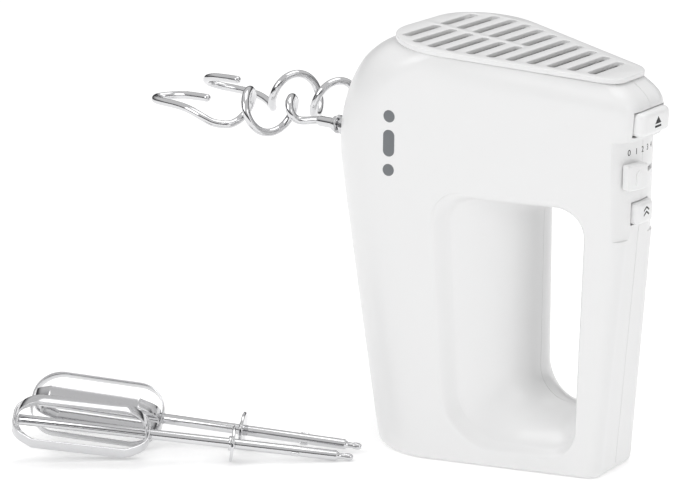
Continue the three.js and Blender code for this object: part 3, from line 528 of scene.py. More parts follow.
# ---------------------------------------------------------------- finishes
class Masks:
    """Shader node groups that more than one finish uses."""

    def __init__(self) -> None:
        self.drift = self._drift()
        self.grain = self._grain()
        self.edges = self._edges()

    @staticmethod
    def _group(
        name: str, inputs: Sequence[tuple[str, str, object]], outputs: Sequence[tuple[str, str]]
    ) -> Nodes:
        """A new shader group with its sockets."""
        tree = bpy.data.node_groups.new(name, "ShaderNodeTree")
        for label, kind, value in inputs:
            socket = tree.interface.new_socket(label, in_out="INPUT", socket_type=kind)
            socket.default_value = value
        for label, kind in outputs:
            tree.interface.new_socket(label, in_out="OUTPUT", socket_type=kind)
        return tree

    def _drift(self) -> Nodes:
        """Slow change of colour and gloss over a surface."""
        tree = self._group(
            "slow_drift",
            [
                ("Color", "NodeSocketColor", (0.8, 0.8, 0.8, 1)),
                ("Amount", "NodeSocketFloat", 0.03),
                ("Scale", "NodeSocketFloat", 20.0),
                ("Roughness", "NodeSocketFloat", 0.4),
                ("Rough Spread", "NodeSocketFloat", 0.05),
            ],
            [("Color", "NodeSocketColor"), ("Roughness", "NodeSocketFloat")],
        )
        new, link = tree.nodes.new, tree.links.new
        given, out = new("NodeGroupInput"), new("NodeGroupOutput")
        where, noise = new("ShaderNodeTexCoord"), new("ShaderNodeTexNoise")
        noise.inputs["Detail"].default_value = 4
        link(where.outputs["Object"], noise.inputs["Vector"])
        link(given.outputs["Scale"], noise.inputs["Scale"])
        middle = new("ShaderNodeMath")
        middle.operation = "SUBTRACT"
        middle.inputs[1].default_value = 0.5
        link(noise.outputs["Fac"], middle.inputs[0])
        tint = new("ShaderNodeMath")
        tint.operation = "MULTIPLY_ADD"
        tint.inputs[2].default_value = 1.0
        link(middle.outputs[0], tint.inputs[0])
        link(given.outputs["Amount"], tint.inputs[1])
        shade = new("ShaderNodeVectorMath")
        shade.operation = "SCALE"
        link(given.outputs["Color"], shade.inputs[0])
        link(tint.outputs[0], shade.inputs["Scale"])
        rough = new("ShaderNodeMath")
        rough.operation = "MULTIPLY_ADD"
        link(middle.outputs[0], rough.inputs[0])
        link(given.outputs["Rough Spread"], rough.inputs[1])
        link(given.outputs["Roughness"], rough.inputs[2])
        link(shade.outputs[0], out.inputs["Color"])
        link(rough.outputs[0], out.inputs["Roughness"])
        return tree

    def _grain(self) -> Nodes:
        """Fine surface relief, stretched along one axis where asked."""
        tree = self._group(
            "fine_grain",
            [("Scale", "NodeSocketFloat", 900.0), ("Stretch", "NodeSocketVector", (1, 1, 1))],
            [("Height", "NodeSocketFloat")],
        )
        new, link = tree.nodes.new, tree.links.new
        given, out = new("NodeGroupInput"), new("NodeGroupOutput")
        where, noise = new("ShaderNodeTexCoord"), new("ShaderNodeTexNoise")
        shape = new("ShaderNodeVectorMath")
        shape.operation = "MULTIPLY"
        noise.inputs["Detail"].default_value = 3
        link(where.outputs["Object"], shape.inputs[0])
        link(given.outputs["Stretch"], shape.inputs[1])
        link(shape.outputs[0], noise.inputs["Vector"])
        link(given.outputs["Scale"], noise.inputs["Scale"])
        link(noise.outputs["Fac"], out.inputs["Height"])
        return tree

    def _edges(self) -> Nodes:
        """Where a surface turns sharply, broken up by noise; the mask sets where the painted edge highlight
        goes.
        """
        tree = self._group(
            "edge_mask",
            [("Radius", "NodeSocketFloat", 0.0004), ("Break Up", "NodeSocketFloat", 0.5)],
            [("Mask", "NodeSocketFloat"), ("Normal", "NodeSocketVector")],
        )
        new, link = tree.nodes.new, tree.links.new
        given, out = new("NodeGroupInput"), new("NodeGroupOutput")
        soft, true = new("ShaderNodeBevel"), new("ShaderNodeNewGeometry")
        soft.samples = 4
        dot = new("ShaderNodeVectorMath")
        dot.operation = "DOT_PRODUCT"
        link(given.outputs["Radius"], soft.inputs["Radius"])
        link(soft.outputs[0], dot.inputs[0])
        link(true.outputs["Normal"], dot.inputs[1])
        turn = new("ShaderNodeMapRange")
        turn.inputs["From Min"].default_value = 0.995
        turn.inputs["From Max"].default_value = 0.80
        link(dot.outputs["Value"], turn.inputs["Value"])
        where, noise, patch = new("ShaderNodeTexCoord"), new("ShaderNodeTexNoise"), new("ShaderNodeMath")
        noise.inputs["Scale"].default_value = 300.0
        link(where.outputs["Object"], noise.inputs["Vector"])
        patch.operation = "MULTIPLY"
        link(noise.outputs["Fac"], patch.inputs[0])
        link(given.outputs["Break Up"], patch.inputs[1])
        keep = new("ShaderNodeMath")
        keep.operation = "SUBTRACT"
        keep.use_clamp = True
        link(turn.outputs["Result"], keep.inputs[0])
        link(patch.outputs[0], keep.inputs[1])
        link(keep.outputs[0], out.inputs["Mask"])
        link(soft.outputs[0], out.inputs["Normal"])
        return tree


@dataclass(frozen=True)
class Finish:
    """One surface finish."""

    name: str
    color: tuple[float, float, float]
    rough: float
    metal: float = 0.0
    coat: float = 0.0
    drift: float = 0.03
    drift_scale: float = 25.0
    rough_spread: float = 0.05
    grain: float = 900.0
    stretch: tuple[float, float, float] = (1.0, 1.0, 1.0)
    relief: float = 0.00001
    edge: float = 0.0003
    # colour of the painted edge highlight; by default a lighter copy of the base colour
    edge_highlight_color: tuple[float, float, float] | None = None

    def material(self, masks: Masks) -> bpy.types.Material:
        """Builds the finish as a material, with the Principled shader in the material itself."""
        mat = bpy.data.materials.new(self.name)
        mat.use_nodes = True
        tree = mat.node_tree
        new, link = tree.nodes.new, tree.links.new
        surface = tree.nodes["Principled BSDF"]
        drift, grain, edges = new("ShaderNodeGroup"), new("ShaderNodeGroup"), new("ShaderNodeGroup")
        drift.node_tree, grain.node_tree, edges.node_tree = masks.drift, masks.grain, masks.edges
        drift.inputs["Color"].default_value = (*self.color, 1)
        drift.inputs["Amount"].default_value = self.drift
        drift.inputs["Scale"].default_value = self.drift_scale
        drift.inputs["Roughness"].default_value = self.rough
        drift.inputs["Rough Spread"].default_value = self.rough_spread
        grain.inputs["Scale"].default_value = self.grain
        grain.inputs["Stretch"].default_value = self.stretch
        edges.inputs["Radius"].default_value = self.edge
        # painted highlight: a lighter tone mixed into the base colour along sharp edges, broken up by noise
        edge_highlight = new("ShaderNodeMix")
        edge_highlight.data_type = "RGBA"
        highlight_tone = self.edge_highlight_color or tuple(min(1.0, c * 1.12 + 0.01) for c in self.color)
        edge_highlight.inputs["B"].default_value = (*highlight_tone, 1)
        link(edges.outputs["Mask"], edge_highlight.inputs["Factor"])
        link(drift.outputs["Color"], edge_highlight.inputs["A"])
        link(edge_highlight.outputs["Result"], surface.inputs["Base Color"])
        link(drift.outputs["Roughness"], surface.inputs["Roughness"])
        bump = new("ShaderNodeBump")
        bump.inputs["Distance"].default_value = self.relief
        link(grain.outputs["Height"], bump.inputs["Height"])
        link(edges.outputs["Normal"], bump.inputs["Normal"])
        link(bump.outputs["Normal"], surface.inputs["Normal"])
        surface.inputs["Metallic"].default_value = self.metal
        surface.inputs["Coat Weight"].default_value = self.coat
        return mat


class Palette:
    """Every finish in the model, by name."""

    FINISHES = (
        Finish("white_casing", (0.83, 0.83, 0.83), 0.3, coat=0.15, drift=0.012, relief=0.000004, edge=0.0002),
        Finish("white_button", (0.85, 0.85, 0.85), 0.34, coat=0.1, drift=0.012, relief=0.000005, edge=0.0002),
        Finish(
            "bright_chrome", (0.66, 0.66, 0.67), 0.07, 1.0, drift=0.03, rough_spread=0.06, relief=0.000003
        ),
        Finish("polished_strip", (0.6, 0.6, 0.61), 0.16, 1.0, drift=0.04, rough_spread=0.1, relief=0.000006),
        Finish("turned_steel", (0.62, 0.62, 0.63), 0.22, 1.0, stretch=(12, 1, 1), relief=0.00001),
        Finish(
            "stacked_steel", (0.34, 0.35, 0.37), 0.42, 1.0, stretch=(0.1, 0.1, 6), relief=0.00008, grain=400
        ),
        Finish("enamel_copper", (0.52, 0.19, 0.07), 0.28, 0.85, coat=0.5, drift=0.2, drift_scale=120),
        Finish("sintered_bronze", (0.55, 0.36, 0.17), 0.45, 1.0, relief=0.00003),
        Finish("machined_copper", (0.72, 0.36, 0.22), 0.3, 1.0, stretch=(1, 1, 10)),
        Finish("milky_nylon", (0.78, 0.77, 0.70), 0.5, drift=0.05, relief=0.00001),
        Finish("pressed_carbon", (0.03, 0.03, 0.032), 0.6, drift=0.3, relief=0.00003),
        Finish("green_board", (0.02, 0.12, 0.05), 0.4, coat=0.4, drift=0.15, drift_scale=200),
        Finish("black_plastic", (0.025, 0.025, 0.027), 0.45, drift=0.2, relief=0.00002),
        Finish("black_print", (0.012, 0.012, 0.013), 0.5, drift=0.1, relief=0.000002, edge=0.00005),
        Finish("grey_print", (0.17, 0.18, 0.19), 0.5, drift=0.06, relief=0.000002, edge=0.00005),
    )

    def __init__(self) -> None:
        masks = Masks()
        self._made = {finish.name: finish.material(masks) for finish in self.FINISHES}

    def __getitem__(self, name: str) -> bpy.types.Material:
        return self._made[name]


# ---------------------------------------------------------------- the model
@dataclass
class Assembly:
    """What every sub-assembly shares: the finishes, the grower, and how a piece is dressed."""

    palette: Palette
    growth: Growth

    def dress(
        self, obj: bpy.types.Object, body: str, nodes: Sequence[str] = (), slot: str = ""
    ) -> bpy.types.Object:
        """Puts a finished piece on its body.

        Args:
            obj: the piece, in place.
            body: the body it rides on.
            nodes: the frame's nodes it stands for.
            slot: the record's material slot; not used.

        Returns:
            The same object.
        """
        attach(obj, body)
        if nodes:
            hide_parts(*nodes)
        LOG.info("%s rides on %s: %d faces", obj.name, body, len(obj.data.polygons))
        return obj


@dataclass(frozen=True)
class PlanSection:
    """A horizontal section of the casing: a trapezium with rounded corners, wide at the nose."""

    front_x: float
    front_half: float
    rear_x: float
    rear_half: float
    front_r: float
    rear_r: float

    @property
    def slope(self) -> float:
        """How the half width changes along X."""
        return (self.rear_half - self.front_half) / (self.rear_x - self.front_x)

    def toward(self, other: "PlanSection", t: float) -> "PlanSection":
        """The section a share t of the way to another."""
        a, b = np.array(self.values()), np.array(other.values())
        return PlanSection(*(a + (b - a) * t))

    def values(self) -> tuple[float, ...]:
        """The six sizes in order."""
        return self.front_x, self.front_half, self.rear_x, self.rear_half, self.front_r, self.rear_r

    def pulled_back(self, back: float) -> "PlanSection":
        """The section with its front cut back along its own sides."""
        half = self.front_half + self.slope * back
        return PlanSection(self.front_x + back, half, self.rear_x, self.rear_half, self.front_r, self.rear_r)

    def outline(self, inset: float = 0.0, arc: int = 14, side: int = 30) -> Ring:
        """The section's outline moved inwards."""
        step = inset * math.hypot(1, self.slope)
        front = self.front_half + self.slope * inset - step
        rear = self.rear_half - self.slope * inset - step
        fx, rx = self.front_x + inset, self.rear_x - inset
        radii = [max(self.rear_r - inset, 1)] * 2 + [max(self.front_r - inset, 1)] * 2
        return rounded([(rx, -rear), (rx, rear), (fx, front), (fx, -front)], radii, arc, side)

    def half_at(self, x: float) -> float:
        """Half width on the straight part of the side."""
        return self.front_half + self.slope * (x - self.front_x)


@dataclass
class Casing(Assembly):
    """The two moulded halves with the hand opening, the control windows and the tool mouths."""

    HEEL = PlanSection(-56.8, 54.2, 58.7, 16.9, 30.5, 7.3)
    CROWN = PlanSection(-83.5, 52.3, 71.4, 16.1, 27.6, 9.8)
    RIM = PlanSection(-49.2, 49.8, 61.8, 13.8, 27.0, 10.0)
    crown_z: float = 185.0
    crease_z: float = 180.0
    nose_z: float = 189.1
    tilt: float = 0.09
    roll_z: float = 131.0
    roll_r: float = 65.0
    bulge: float = 0.067
    bulge_x: float = -12.0
    bulge_reach: float = 70.0
    heel_round: float = 2.5
    wall: float = 2.5
    rim_drop: float = 2.5
    rim_lip: float = 1.2
    seam: float = 0.16
    grip_front: float = 18.0
    grip_rear: float = 49.0
    grip_low: float = 27.0
    grip_high: float = 124.0
    grip_flare: float = 31.0
    grip_lean: tuple[float, float] = (3.5, -4.5)
    grip_rear_flare: tuple[float, float] = (-1.2, 1.8)
    grip_radii: tuple[float, ...] = (15, 9, 13, 9)
    grip_radius_gain: tuple[float, ...] = (13, 5, 0, 4)
    grip_drop: float = 19.5
    grip_rise: float = 1.0
    grip_step: float = 0.10
    grip_step_at: float = 0.78
    rim_round: float = 3.2
    band_x: float = 32.5
    band_r: float = 34.8
    band_low: float = 112.0
    band_high: float = 157.0
    band_wall: float = 4.5

    def roll_back(self, z: float) -> float:
        """How far the front has rolled back at a height."""
        rise = max(0.0, z - self.roll_z)
        return self.roll_r - math.sqrt(max(self.roll_r**2 - rise**2, 0))

    def bow(self, x: np.ndarray | float, z: float) -> np.ndarray | float:
        """How much the side bows out at a place."""
        off = (x - self.bulge_x) / self.bulge_reach
        return 1 + self.bulge * z / self.crown_z * np.maximum(0, 1 - off * off)

    def ring(self, height: float, inset: float, arc: int = 14, side: int = 30) -> Ring:
        """The skin at a height, moved inwards."""
        section = self.HEEL.toward(self.CROWN, height / self.crown_z).pulled_back(self.roll_back(height))
        flat = section.outline(inset, arc, side)
        share = min(max((height - self.roll_z) / (self.crease_z - self.roll_z), 0), 1)
        x, y = flat[:, 0], flat[:, 1] * self.bow(flat[:, 0], height)
        return np.column_stack([x, y, height - self.tilt * share * x])

    def rim(self, inset: float, drop: float, arc: int = 14, side: int = 30) -> Ring:
        """The casing's upper rim, under the grille."""
        flat = self.RIM.outline(inset, arc, side)
        return np.column_stack([flat, self.nose_z - drop - self.tilt * flat[:, 0]])

    def side_y(self, x: float, z: float) -> float:
        """Distance of the side face from the middle plane, below the roll."""
        section = self.HEEL.toward(self.CROWN, z / self.crown_z)
        return section.half_at(x) * float(self.bow(x, z))

    def skin(self) -> bpy.types.Mesh:
        """The outside as one solid."""
        rings = []
        for angle in np.linspace(0, math.pi / 2, 6):
            drop = self.heel_round * (1 - math.sin(angle))
            rings.append(self.ring(self.heel_round * (1 - math.cos(angle)), drop))
        rings += [self.ring(z, 0) for z in np.arange(6, 172, 2.5)]
        corner, top = self.ring(self.crease_z, 0), self.rim(self.rim_lip, self.rim_drop)
        low, high = self.ring(174, 0), corner + (top - corner) * 0.55
        for t in np.linspace(0, 1, 9):
            rings.append(low * (1 - t) ** 2 + corner * 2 * t * (1 - t) + high * t * t)
        rings.append(corner + (top - corner) * 0.8)
        rings.append(top)
        return Solid.loft(rings).mesh("casing")

    def cavity(self) -> bpy.types.Mesh:
        """The space inside, before the hand opening's own wall is taken out of it."""
        w = self.wall
        rings = [self.ring(w, w + 1, 8, 12), self.ring(w + 1, w, 8, 12)]
        rings += [self.ring(z, w, 8, 12) for z in range(10, 176, 8)]
        rings.append(self.rim(self.rim_lip + w, self.rim_drop + w, 8, 12))
        return Solid.loft(rings).mesh("cavity")

    def grip_ring(self, turn: float, sign: int, grow: float, points: int) -> Ring:
        """The hand opening's outline between the middle plane (turn 0) and the side face (turn 1).

        Args:
            turn: share of the way round the quarter ellipse.
            sign: which side of the middle plane.
            grow: how far the outline is moved outwards.
            points: straight pieces in each corner.

        Returns:
            Points in the frame.
        """
        flare = 1 - math.cos(turn * math.pi / 2)
        rise = max(0.0, (flare - self.grip_step_at) / (1 - self.grip_step_at))
        step = rise * rise * (3 - 2 * rise)
        depth = math.sin(turn * math.pi / 2) * (1 - self.grip_step * (1 - step))
        front = self.grip_front - self.grip_flare * flare - grow
        fx_low, fx_high = (front + lean * flare for lean in self.grip_lean)
        rx_low, rx_high = (self.grip_rear + gain * flare + grow for gain in self.grip_rear_flare)
        low = self.grip_low - self.grip_drop * flare - grow
        high = self.grip_high + self.grip_rise * flare + grow
        radii = [radius + gain * flare for radius, gain in zip(self.grip_radii, self.grip_radius_gain)]
        flat = rounded(
            [(fx_low, low), (rx_low, low), (rx_high, high), (fx_high, high)],
            [r + grow for r in radii],
            points,
            2 * points,
        )
        wall = np.array([self.side_y(x, z) for x, z in flat])
        y = wall * depth
        if not grow:
            away = np.roll(flat, -1, 0) - np.roll(flat, 1, 0)
            normal = np.stack([away[:, 1], -away[:, 0]], 1)
            normal /= np.linalg.norm(normal, axis=1)[:, None]
            weight = np.clip(normal[:, 0], 0, 1) + np.clip(normal[:, 1], 0, 1) ** 2
            near = np.clip(1 - (wall - y) / self.rim_round, 0, 0.985)
            ease = self.rim_round * (1 - np.sqrt(1 - near**2))
            flat = flat + normal * (np.clip(weight, 0, 1) * ease)[:, None]
            wall = np.array([self.side_y(x, z) for x, z in flat])
            y = np.maximum(y, 0)
        return np.column_stack([flat[:, 0], sign * y, flat[:, 1]])

    def grip(self, grow: float, points: int, steps: int) -> bpy.types.Mesh:
        """The hand opening as a cutter, from one side to the other."""
        turns = list(np.linspace(0, 1, steps))
        if not grow:
            turns = sorted(set(turns[:-1]) | set(1 - np.geomspace(0.12, 0.002, 12)) | {1.0})
        half = [self.grip_ring(t, Side.LEFT.value, grow, points) for t in turns]
        far = half[-1].copy()
        far[:, 1] = 80
        half.append(far)
        mirrored = [ring * np.array([1, -1, 1]) for ring in half[:0:-1]]
        return Solid.loft(mirrored + half).mesh("grip")

    def band(self, inset: float) -> bpy.types.Mesh:
        """What the turned band behind the controls takes off the handle.

        Args:
            inset: how far behind the band's face the cut starts, which keeps a wall there.

        Returns:
            The cutter.
        """
        low, high = self.band_low - inset, self.band_high + inset
        face = circle(self.band_r - inset, 160) + np.array([self.band_x, 0])
        drum = Solid.prism(face, low - 1, high + 1).mesh("drum")
        outline = box_outline(60, 80, 1, 1) + np.array([self.band_x + 30, 0])
        return combine(Solid.prism(outline, low, high).mesh("block"), Boolean.CUT, drum)

    def build(self, windows: Sequence[bpy.types.Mesh]) -> None:
        """Builds both halves.

        Args:
            windows: closed cutters for the controls.
        """
        bosses, heads = [], []
        for node in ("heel_screw", "grip_screw", "nose_screw", "crown_screw"):
            low, high = (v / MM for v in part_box(node))
            x, z = (low[0] + high[0]) / 2, (low[2] + high[2]) / 2
            tube = Solid.turned([(0, -60), (4.2, -60), (4.2, 60), (0, 60)], 32).placed(ALONG_Y)
            seat = high[1] - 2.4
            hole = Solid.turned([(0, -12), (1.8, -12), (1.8, seat), (3.6, seat), (3.6, 70), (0, 70)], 32)
            bosses.append(tube.moved(x, 0, z))
            heads.append(hole.placed(ALONG_Y).moved(x, 0, z))
        keep = [self.grip(self.wall, 6, 9), self.band(self.band_wall), Solid.joined(bosses).mesh("bosses")]
        shell = combine(self.skin(), Boolean.CUT, combine(self.cavity(), Boolean.CUT, *keep))
        seat = Solid.loft([self.rim(4.2, 14, 8, 6), self.rim(4.2, -6, 8, 6)]).mesh("seat")
        low, high = (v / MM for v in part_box("cord_inlet_bush"))
        mid = (low + high) / 2
        inlet = Solid.turned([(0, -2), (5.9, -2), (5.9, 16), (0, 16)], 40).moved(mid[0], mid[1], 0)
        mouths = []
        for side in Side:
            low, high = (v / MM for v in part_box(f"{side.name.lower()}_spindle"))
            near, deep = low[0] - 40, low[0] + 24
            mouth = Solid.turned([(0, near), (5.1, near), (5.1, deep), (0, deep)], 48)
            middle = (low + high) / 2
            mouths.append(mouth.placed(ALONG_X).moved(0, middle[1], middle[2]))
        holes = [inlet.mesh("inlet"), Solid.joined(mouths).mesh("mouths")]
        cutters = [self.grip(0, 14, 34), self.band(0), seat, *holes]
        shell = combine(shell, Boolean.CUT, *cutters, *windows, Solid.joined(heads).mesh("heads"))
        far = 200.0
        for side in Side:
            inside = side.value * self.seam / 2
            outline = box_outline(2 * far, far, 1, 1) + np.array([0, inside + side.value * far / 2])
            half = combine(shell.copy(), Boolean.KEEP, Solid.prism(outline, -far, 2 * far).mesh("half"))
            name = side.name.lower()
            piece = show(f"casing_{name}", half, self.palette["white_casing"], 32)
            self.dress(piece, "housing", [f"{name}_shell"], "casing")


@dataclass
class Grille(Assembly):
    """The slotted plate that closes the nose."""

    casing: Casing
    rows: int = 11
    split_rows: int = 6
    pitch: float = 8.7
    first_x: float = -39.2
    slot: float = 4.0
    land: float = 5.2
    rib: float = 3.0
    thick: float = 2.2
    bevel: float = 0.45

    def slots(self) -> list[Ring]:
        """Outlines of the air slots; the wide rows have a rib in the middle."""
        holes = []
        for row in range(self.rows):
            x = self.first_x + row * self.pitch
            outline = self.casing.RIM.outline()
            near = outline[(np.abs(outline[:, 0] - x) < 2.5) & (outline[:, 1] > 0)]
            half = (near[:, 1].mean() if len(near) else self.casing.RIM.half_at(x)) - self.land
            spans = [(-half, half)]
            if row < self.split_rows:
                spans = [(self.rib / 2, half), (-half, -self.rib / 2)]
            for a, b in spans:
                holes.append(box_outline(self.slot, b - a, self.slot / 2 - 0.02) + np.array([x, (a + b) / 2]))
        return holes

    def build(self) -> None:
        """Builds the plate with its skirt."""
        case = self.casing
        cover = plate("grille", [case.RIM.outline(), *self.slots()], self.thick, self.bevel)
        shaped(cover, lambda p: p - np.array([0, 0, self.thick / 2]))
        outer, inner = case.RIM.outline(4.5), case.RIM.outline(6.1)
        low, high = -self.thick - 4, -self.thick + 0.2
        skirt = Solid.loft([raised(outer, low), raised(outer, high), raised(inner, high), raised(inner, low)])
        skirt.faces = skirt.faces[:-2]
        count = len(outer)
        for k in range(count):
            n = (k + 1) % count
            skirt.faces.append([3 * count + k, 3 * count + n, n, k])
        mesh = joined_mesh("nose_grille", [cover, skirt.mesh("skirt")])
        lean = case.tilt
        shaped(mesh, lambda p: np.column_stack([p[:, 0], p[:, 1], p[:, 2] + case.nose_z - lean * p[:, 0]]))
        piece = show("grille_plate", mesh, self.palette["white_casing"], 40)
        self.dress(piece, "housing", ["nose_grille"], "casing")


@dataclass
class Controls(Assembly):
    """The two push buttons, the speed lever, the dial digits and the generic symbols."""

    casing: Casing
    play: float = 0.45
    travel_room: float = 6.0
    inset: float = 0.04
    first_digit: float = -15.4
    digit_step: float = 7.7
    digit_z: float = 151.3

    def block(self, node: str, grow: float, bevel: float, corner: float) -> bpy.types.Mesh:
        """A rounded push button, or its window, from the node's own box.

        Args:
            node: the button's node.
            grow: how far it is moved outwards.
            bevel: radius of its long edges.
            corner: radius of its upright edges at the face.

        Returns:
            The block's mesh.
        """
        low, high = (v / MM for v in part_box(node))
        half = (high[1] - low[1]) / 2 + grow
        fx, bx = high[0] + grow, low[0] - (self.travel_room if grow > 0 else 0)
        corners = [(fx, -half), (fx, half), (bx, half), (bx, -half)]
        outline = rounded(corners, [corner, corner, 0.6, 0.6], 10, 6)
        mesh = plate(node, [outline], high[2] - low[2] + 2 * grow, bevel, 6)
        return shaped(mesh, lambda p: p + np.array([0, 0, (low[2] + high[2]) / 2]))

    def windows(self) -> list[bpy.types.Mesh]:
        """Cutters for the controls' windows in the casing."""
        low, high = (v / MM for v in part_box("speed_lever"))
        middle = (low[2] + high[2]) / 2
        slot = self.sector(20, 50, -20.2, 20.2)
        return [
            self.block("eject_button", self.play, 0.5, 4.3),
            self.block("turbo_button", self.play, 0.5, 2.8),
            Solid.prism(slot, middle - 1.1, middle + 1.1).mesh("lever_slot"),
        ]

    def sector(self, inner: float, outer: float, start: float, end: float, steps: int = 24) -> Ring:
        """A slice of a ring about the lever's pivot."""
        angle = np.radians(np.linspace(start, end, steps + 1))
        arc = np.stack([np.cos(angle), np.sin(angle)], 1)
        return np.concatenate([outer * arc, inner * arc[::-1]]) + np.array([self.casing.band_x, 0])

    def on_band(self, mesh: bpy.types.Mesh, angle: float, z: float, radius: float) -> bpy.types.Mesh:
        """Lays a flat mesh on a drum about the pivot: its X runs round and its Y goes up."""

        def rule(p: np.ndarray) -> np.ndarray:
            a = math.radians(angle) + p[:, 0] / radius
            r = radius + p[:, 2]
            return np.column_stack([self.casing.band_x + r * np.cos(a), r * np.sin(a), z + p[:, 1]])

        return shaped(mesh, rule)

    def digit(self, text: str, high: float) -> bpy.types.Mesh:
        """A digit as a thin flat mesh."""
        curve = bpy.data.curves.new("digit", "FONT")
        curve.body = text
        curve.size = high * 1.4 * MM
        curve.align_x, curve.align_y = "CENTER", "CENTER"
        curve.extrude = 0.03 * MM
        obj = bpy.data.objects.new("digit", curve)
        bpy.context.scene.collection.objects.link(obj)
        mesh = evaluated(obj, "digit")
        face_outwards(mesh)
        return mesh

    def build(self) -> None:
        """Builds every control."""
        self._button("eject_button", "eject", 2.2, 4.0)
        self._button("turbo_button", "turbo", 1.6, 2.5)
        self._lever()
        digits = []
        for k, text in enumerate("01234"):
            angle = self.first_digit + self.digit_step * k
            digits.append(self.on_band(self.digit(text, 2.7), angle, self.digit_z, self.casing.band_r + 0.03))
        piece = show("dial_digits", joined_mesh("dial_digits", digits), self.palette["black_print"])
        self.dress(piece, "housing")
        self._symbols()

    def _button(self, node: str, body: str, bevel: float, corner: float) -> None:
        """One push button with soft edges."""
        block = self.block(node, -self.inset, bevel, corner)
        piece = show(f"{node}_cap", block, self.palette["white_button"], 40)
        self.dress(piece, body, [node], "button")

    def _lever(self) -> None:
        """The speed lever: a thumb piece with a raised pointer, an arm and a hub."""
        low, high = (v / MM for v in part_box("speed_lever"))
        x0, middle, tall = self.casing.band_x, (low[2] + high[2]) / 2, high[2] - low[2]
        rest, spread, face = -13.2, 8.2, 39.8
        outline = self.sector(self.casing.band_r + 0.5, face, rest - spread, rest + spread)
        thumb = plate("thumb", [outline], tall, 0.9, 4)
        arm = plate("arm", [self.sector(5, face - 1, rest - 4.2, rest + 4.2)], 1.6, 0.3, 2)
        for mesh in (thumb, arm):
            shaped(mesh, lambda p: p + np.array([0, 0, middle]))
        hub = Solid.turned([(3.3, -1.5), (7, -1.5), (7, 1.5), (3.3, 1.5), (3.3, -1.5)], 40)
        hub = hub.moved(x0, 0, middle)
        arrow = np.array([(-1.7, -3.4), (1.7, -3.4), (1.7, 1.6), (0, 3.6), (-1.7, 1.6)])
        ridge = self.on_band(plate("ridge", [arrow], 1.0, 0.3, 2), rest, middle, face)
        limit = high[0]
        shaped(ridge, lambda p: np.column_stack([np.minimum(p[:, 0], limit), p[:, 1], p[:, 2]]))
        mesh = joined_mesh("speed_lever", [thumb, arm, hub.mesh("hub"), ridge])
        piece = show("speed_lever_cap", mesh, self.palette["white_button"], 40)
        self.dress(piece, "speed", ["speed_lever"], "button")

    def _symbols(self) -> None:
        """A release symbol, a double chevron and a plain mark, as thin print."""
        low, high = (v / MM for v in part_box("eject_button"))
        z, x = (low[2] + high[2]) / 2, high[0] - self.inset
        flat = 0.06
        triangle = plate("triangle", [np.array([(-2.6, -0.5), (2.6, -0.5), (0, 2.6)])], flat, 0.01, 1)
        bar = plate("bar", [np.array([(-2.6, -2.2), (2.6, -2.2), (2.6, -1.2), (-2.6, -1.2)])], flat, 0.01, 1)
        release = joined_mesh("release_symbol", [triangle, bar])
        shaped(release, lambda p: np.column_stack([x + p[:, 2], p[:, 0], z + p[:, 1]]))
        self.dress(show("release_symbol", release, self.palette["black_print"]), "eject")
        low, high = (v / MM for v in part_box("turbo_button"))
        zt, xt = (low[2] + high[2]) / 2, high[0] - self.inset
        chevrons = []
        for lift in (-1.6, 0.5):
            shape = np.array([(-2.2, 0), (0, 1.5), (2.2, 0), (2.2, 0.9), (0, 2.4), (-2.2, 0.9)])
            chevrons.append(plate("chevron", [shape + np.array([0, lift])], flat, 0.01, 1))
        boost = joined_mesh("boost_symbol", chevrons)
        shaped(boost, lambda p: np.column_stack([xt + p[:, 2], p[:, 0], zt + p[:, 1]]))
        self.dress(show("boost_symbol", boost, self.palette["black_print"]), "turbo")
        self._mark()

    def _mark(self) -> None:
        """A plain column of grey dots and a bar on the side of the motor housing."""
        dot, away = circle(2.6, 32), np.array([0, 11.5])
        shapes = [dot + away, box_outline(5.2, 11.4, 2.5), dot - away]
        mark = joined_mesh("side_mark", [plate("dot", [s], 0.06, 0.01, 1) for s in shapes])
        case = self.casing

        def rule(p: np.ndarray) -> np.ndarray:
            x, z = p[:, 0] - 36.3, p[:, 1] + 146
            out = []
            for px, pz, lift in zip(x, z, p[:, 2]):
                section = case.HEEL.toward(case.CROWN, pz / case.crown_z)
                out.append(section.half_at(px) * float(case.bow(px, pz)) + lift + 0.02)
            share = np.clip((z - case.roll_z) / (case.crease_z - case.roll_z), 0, 1)
            return np.column_stack([x, -np.array(out), z - case.tilt * share * x])

        shaped(mark, rule)
        self.dress(show("side_mark", mark, self.palette["grey_print"]), "housing")


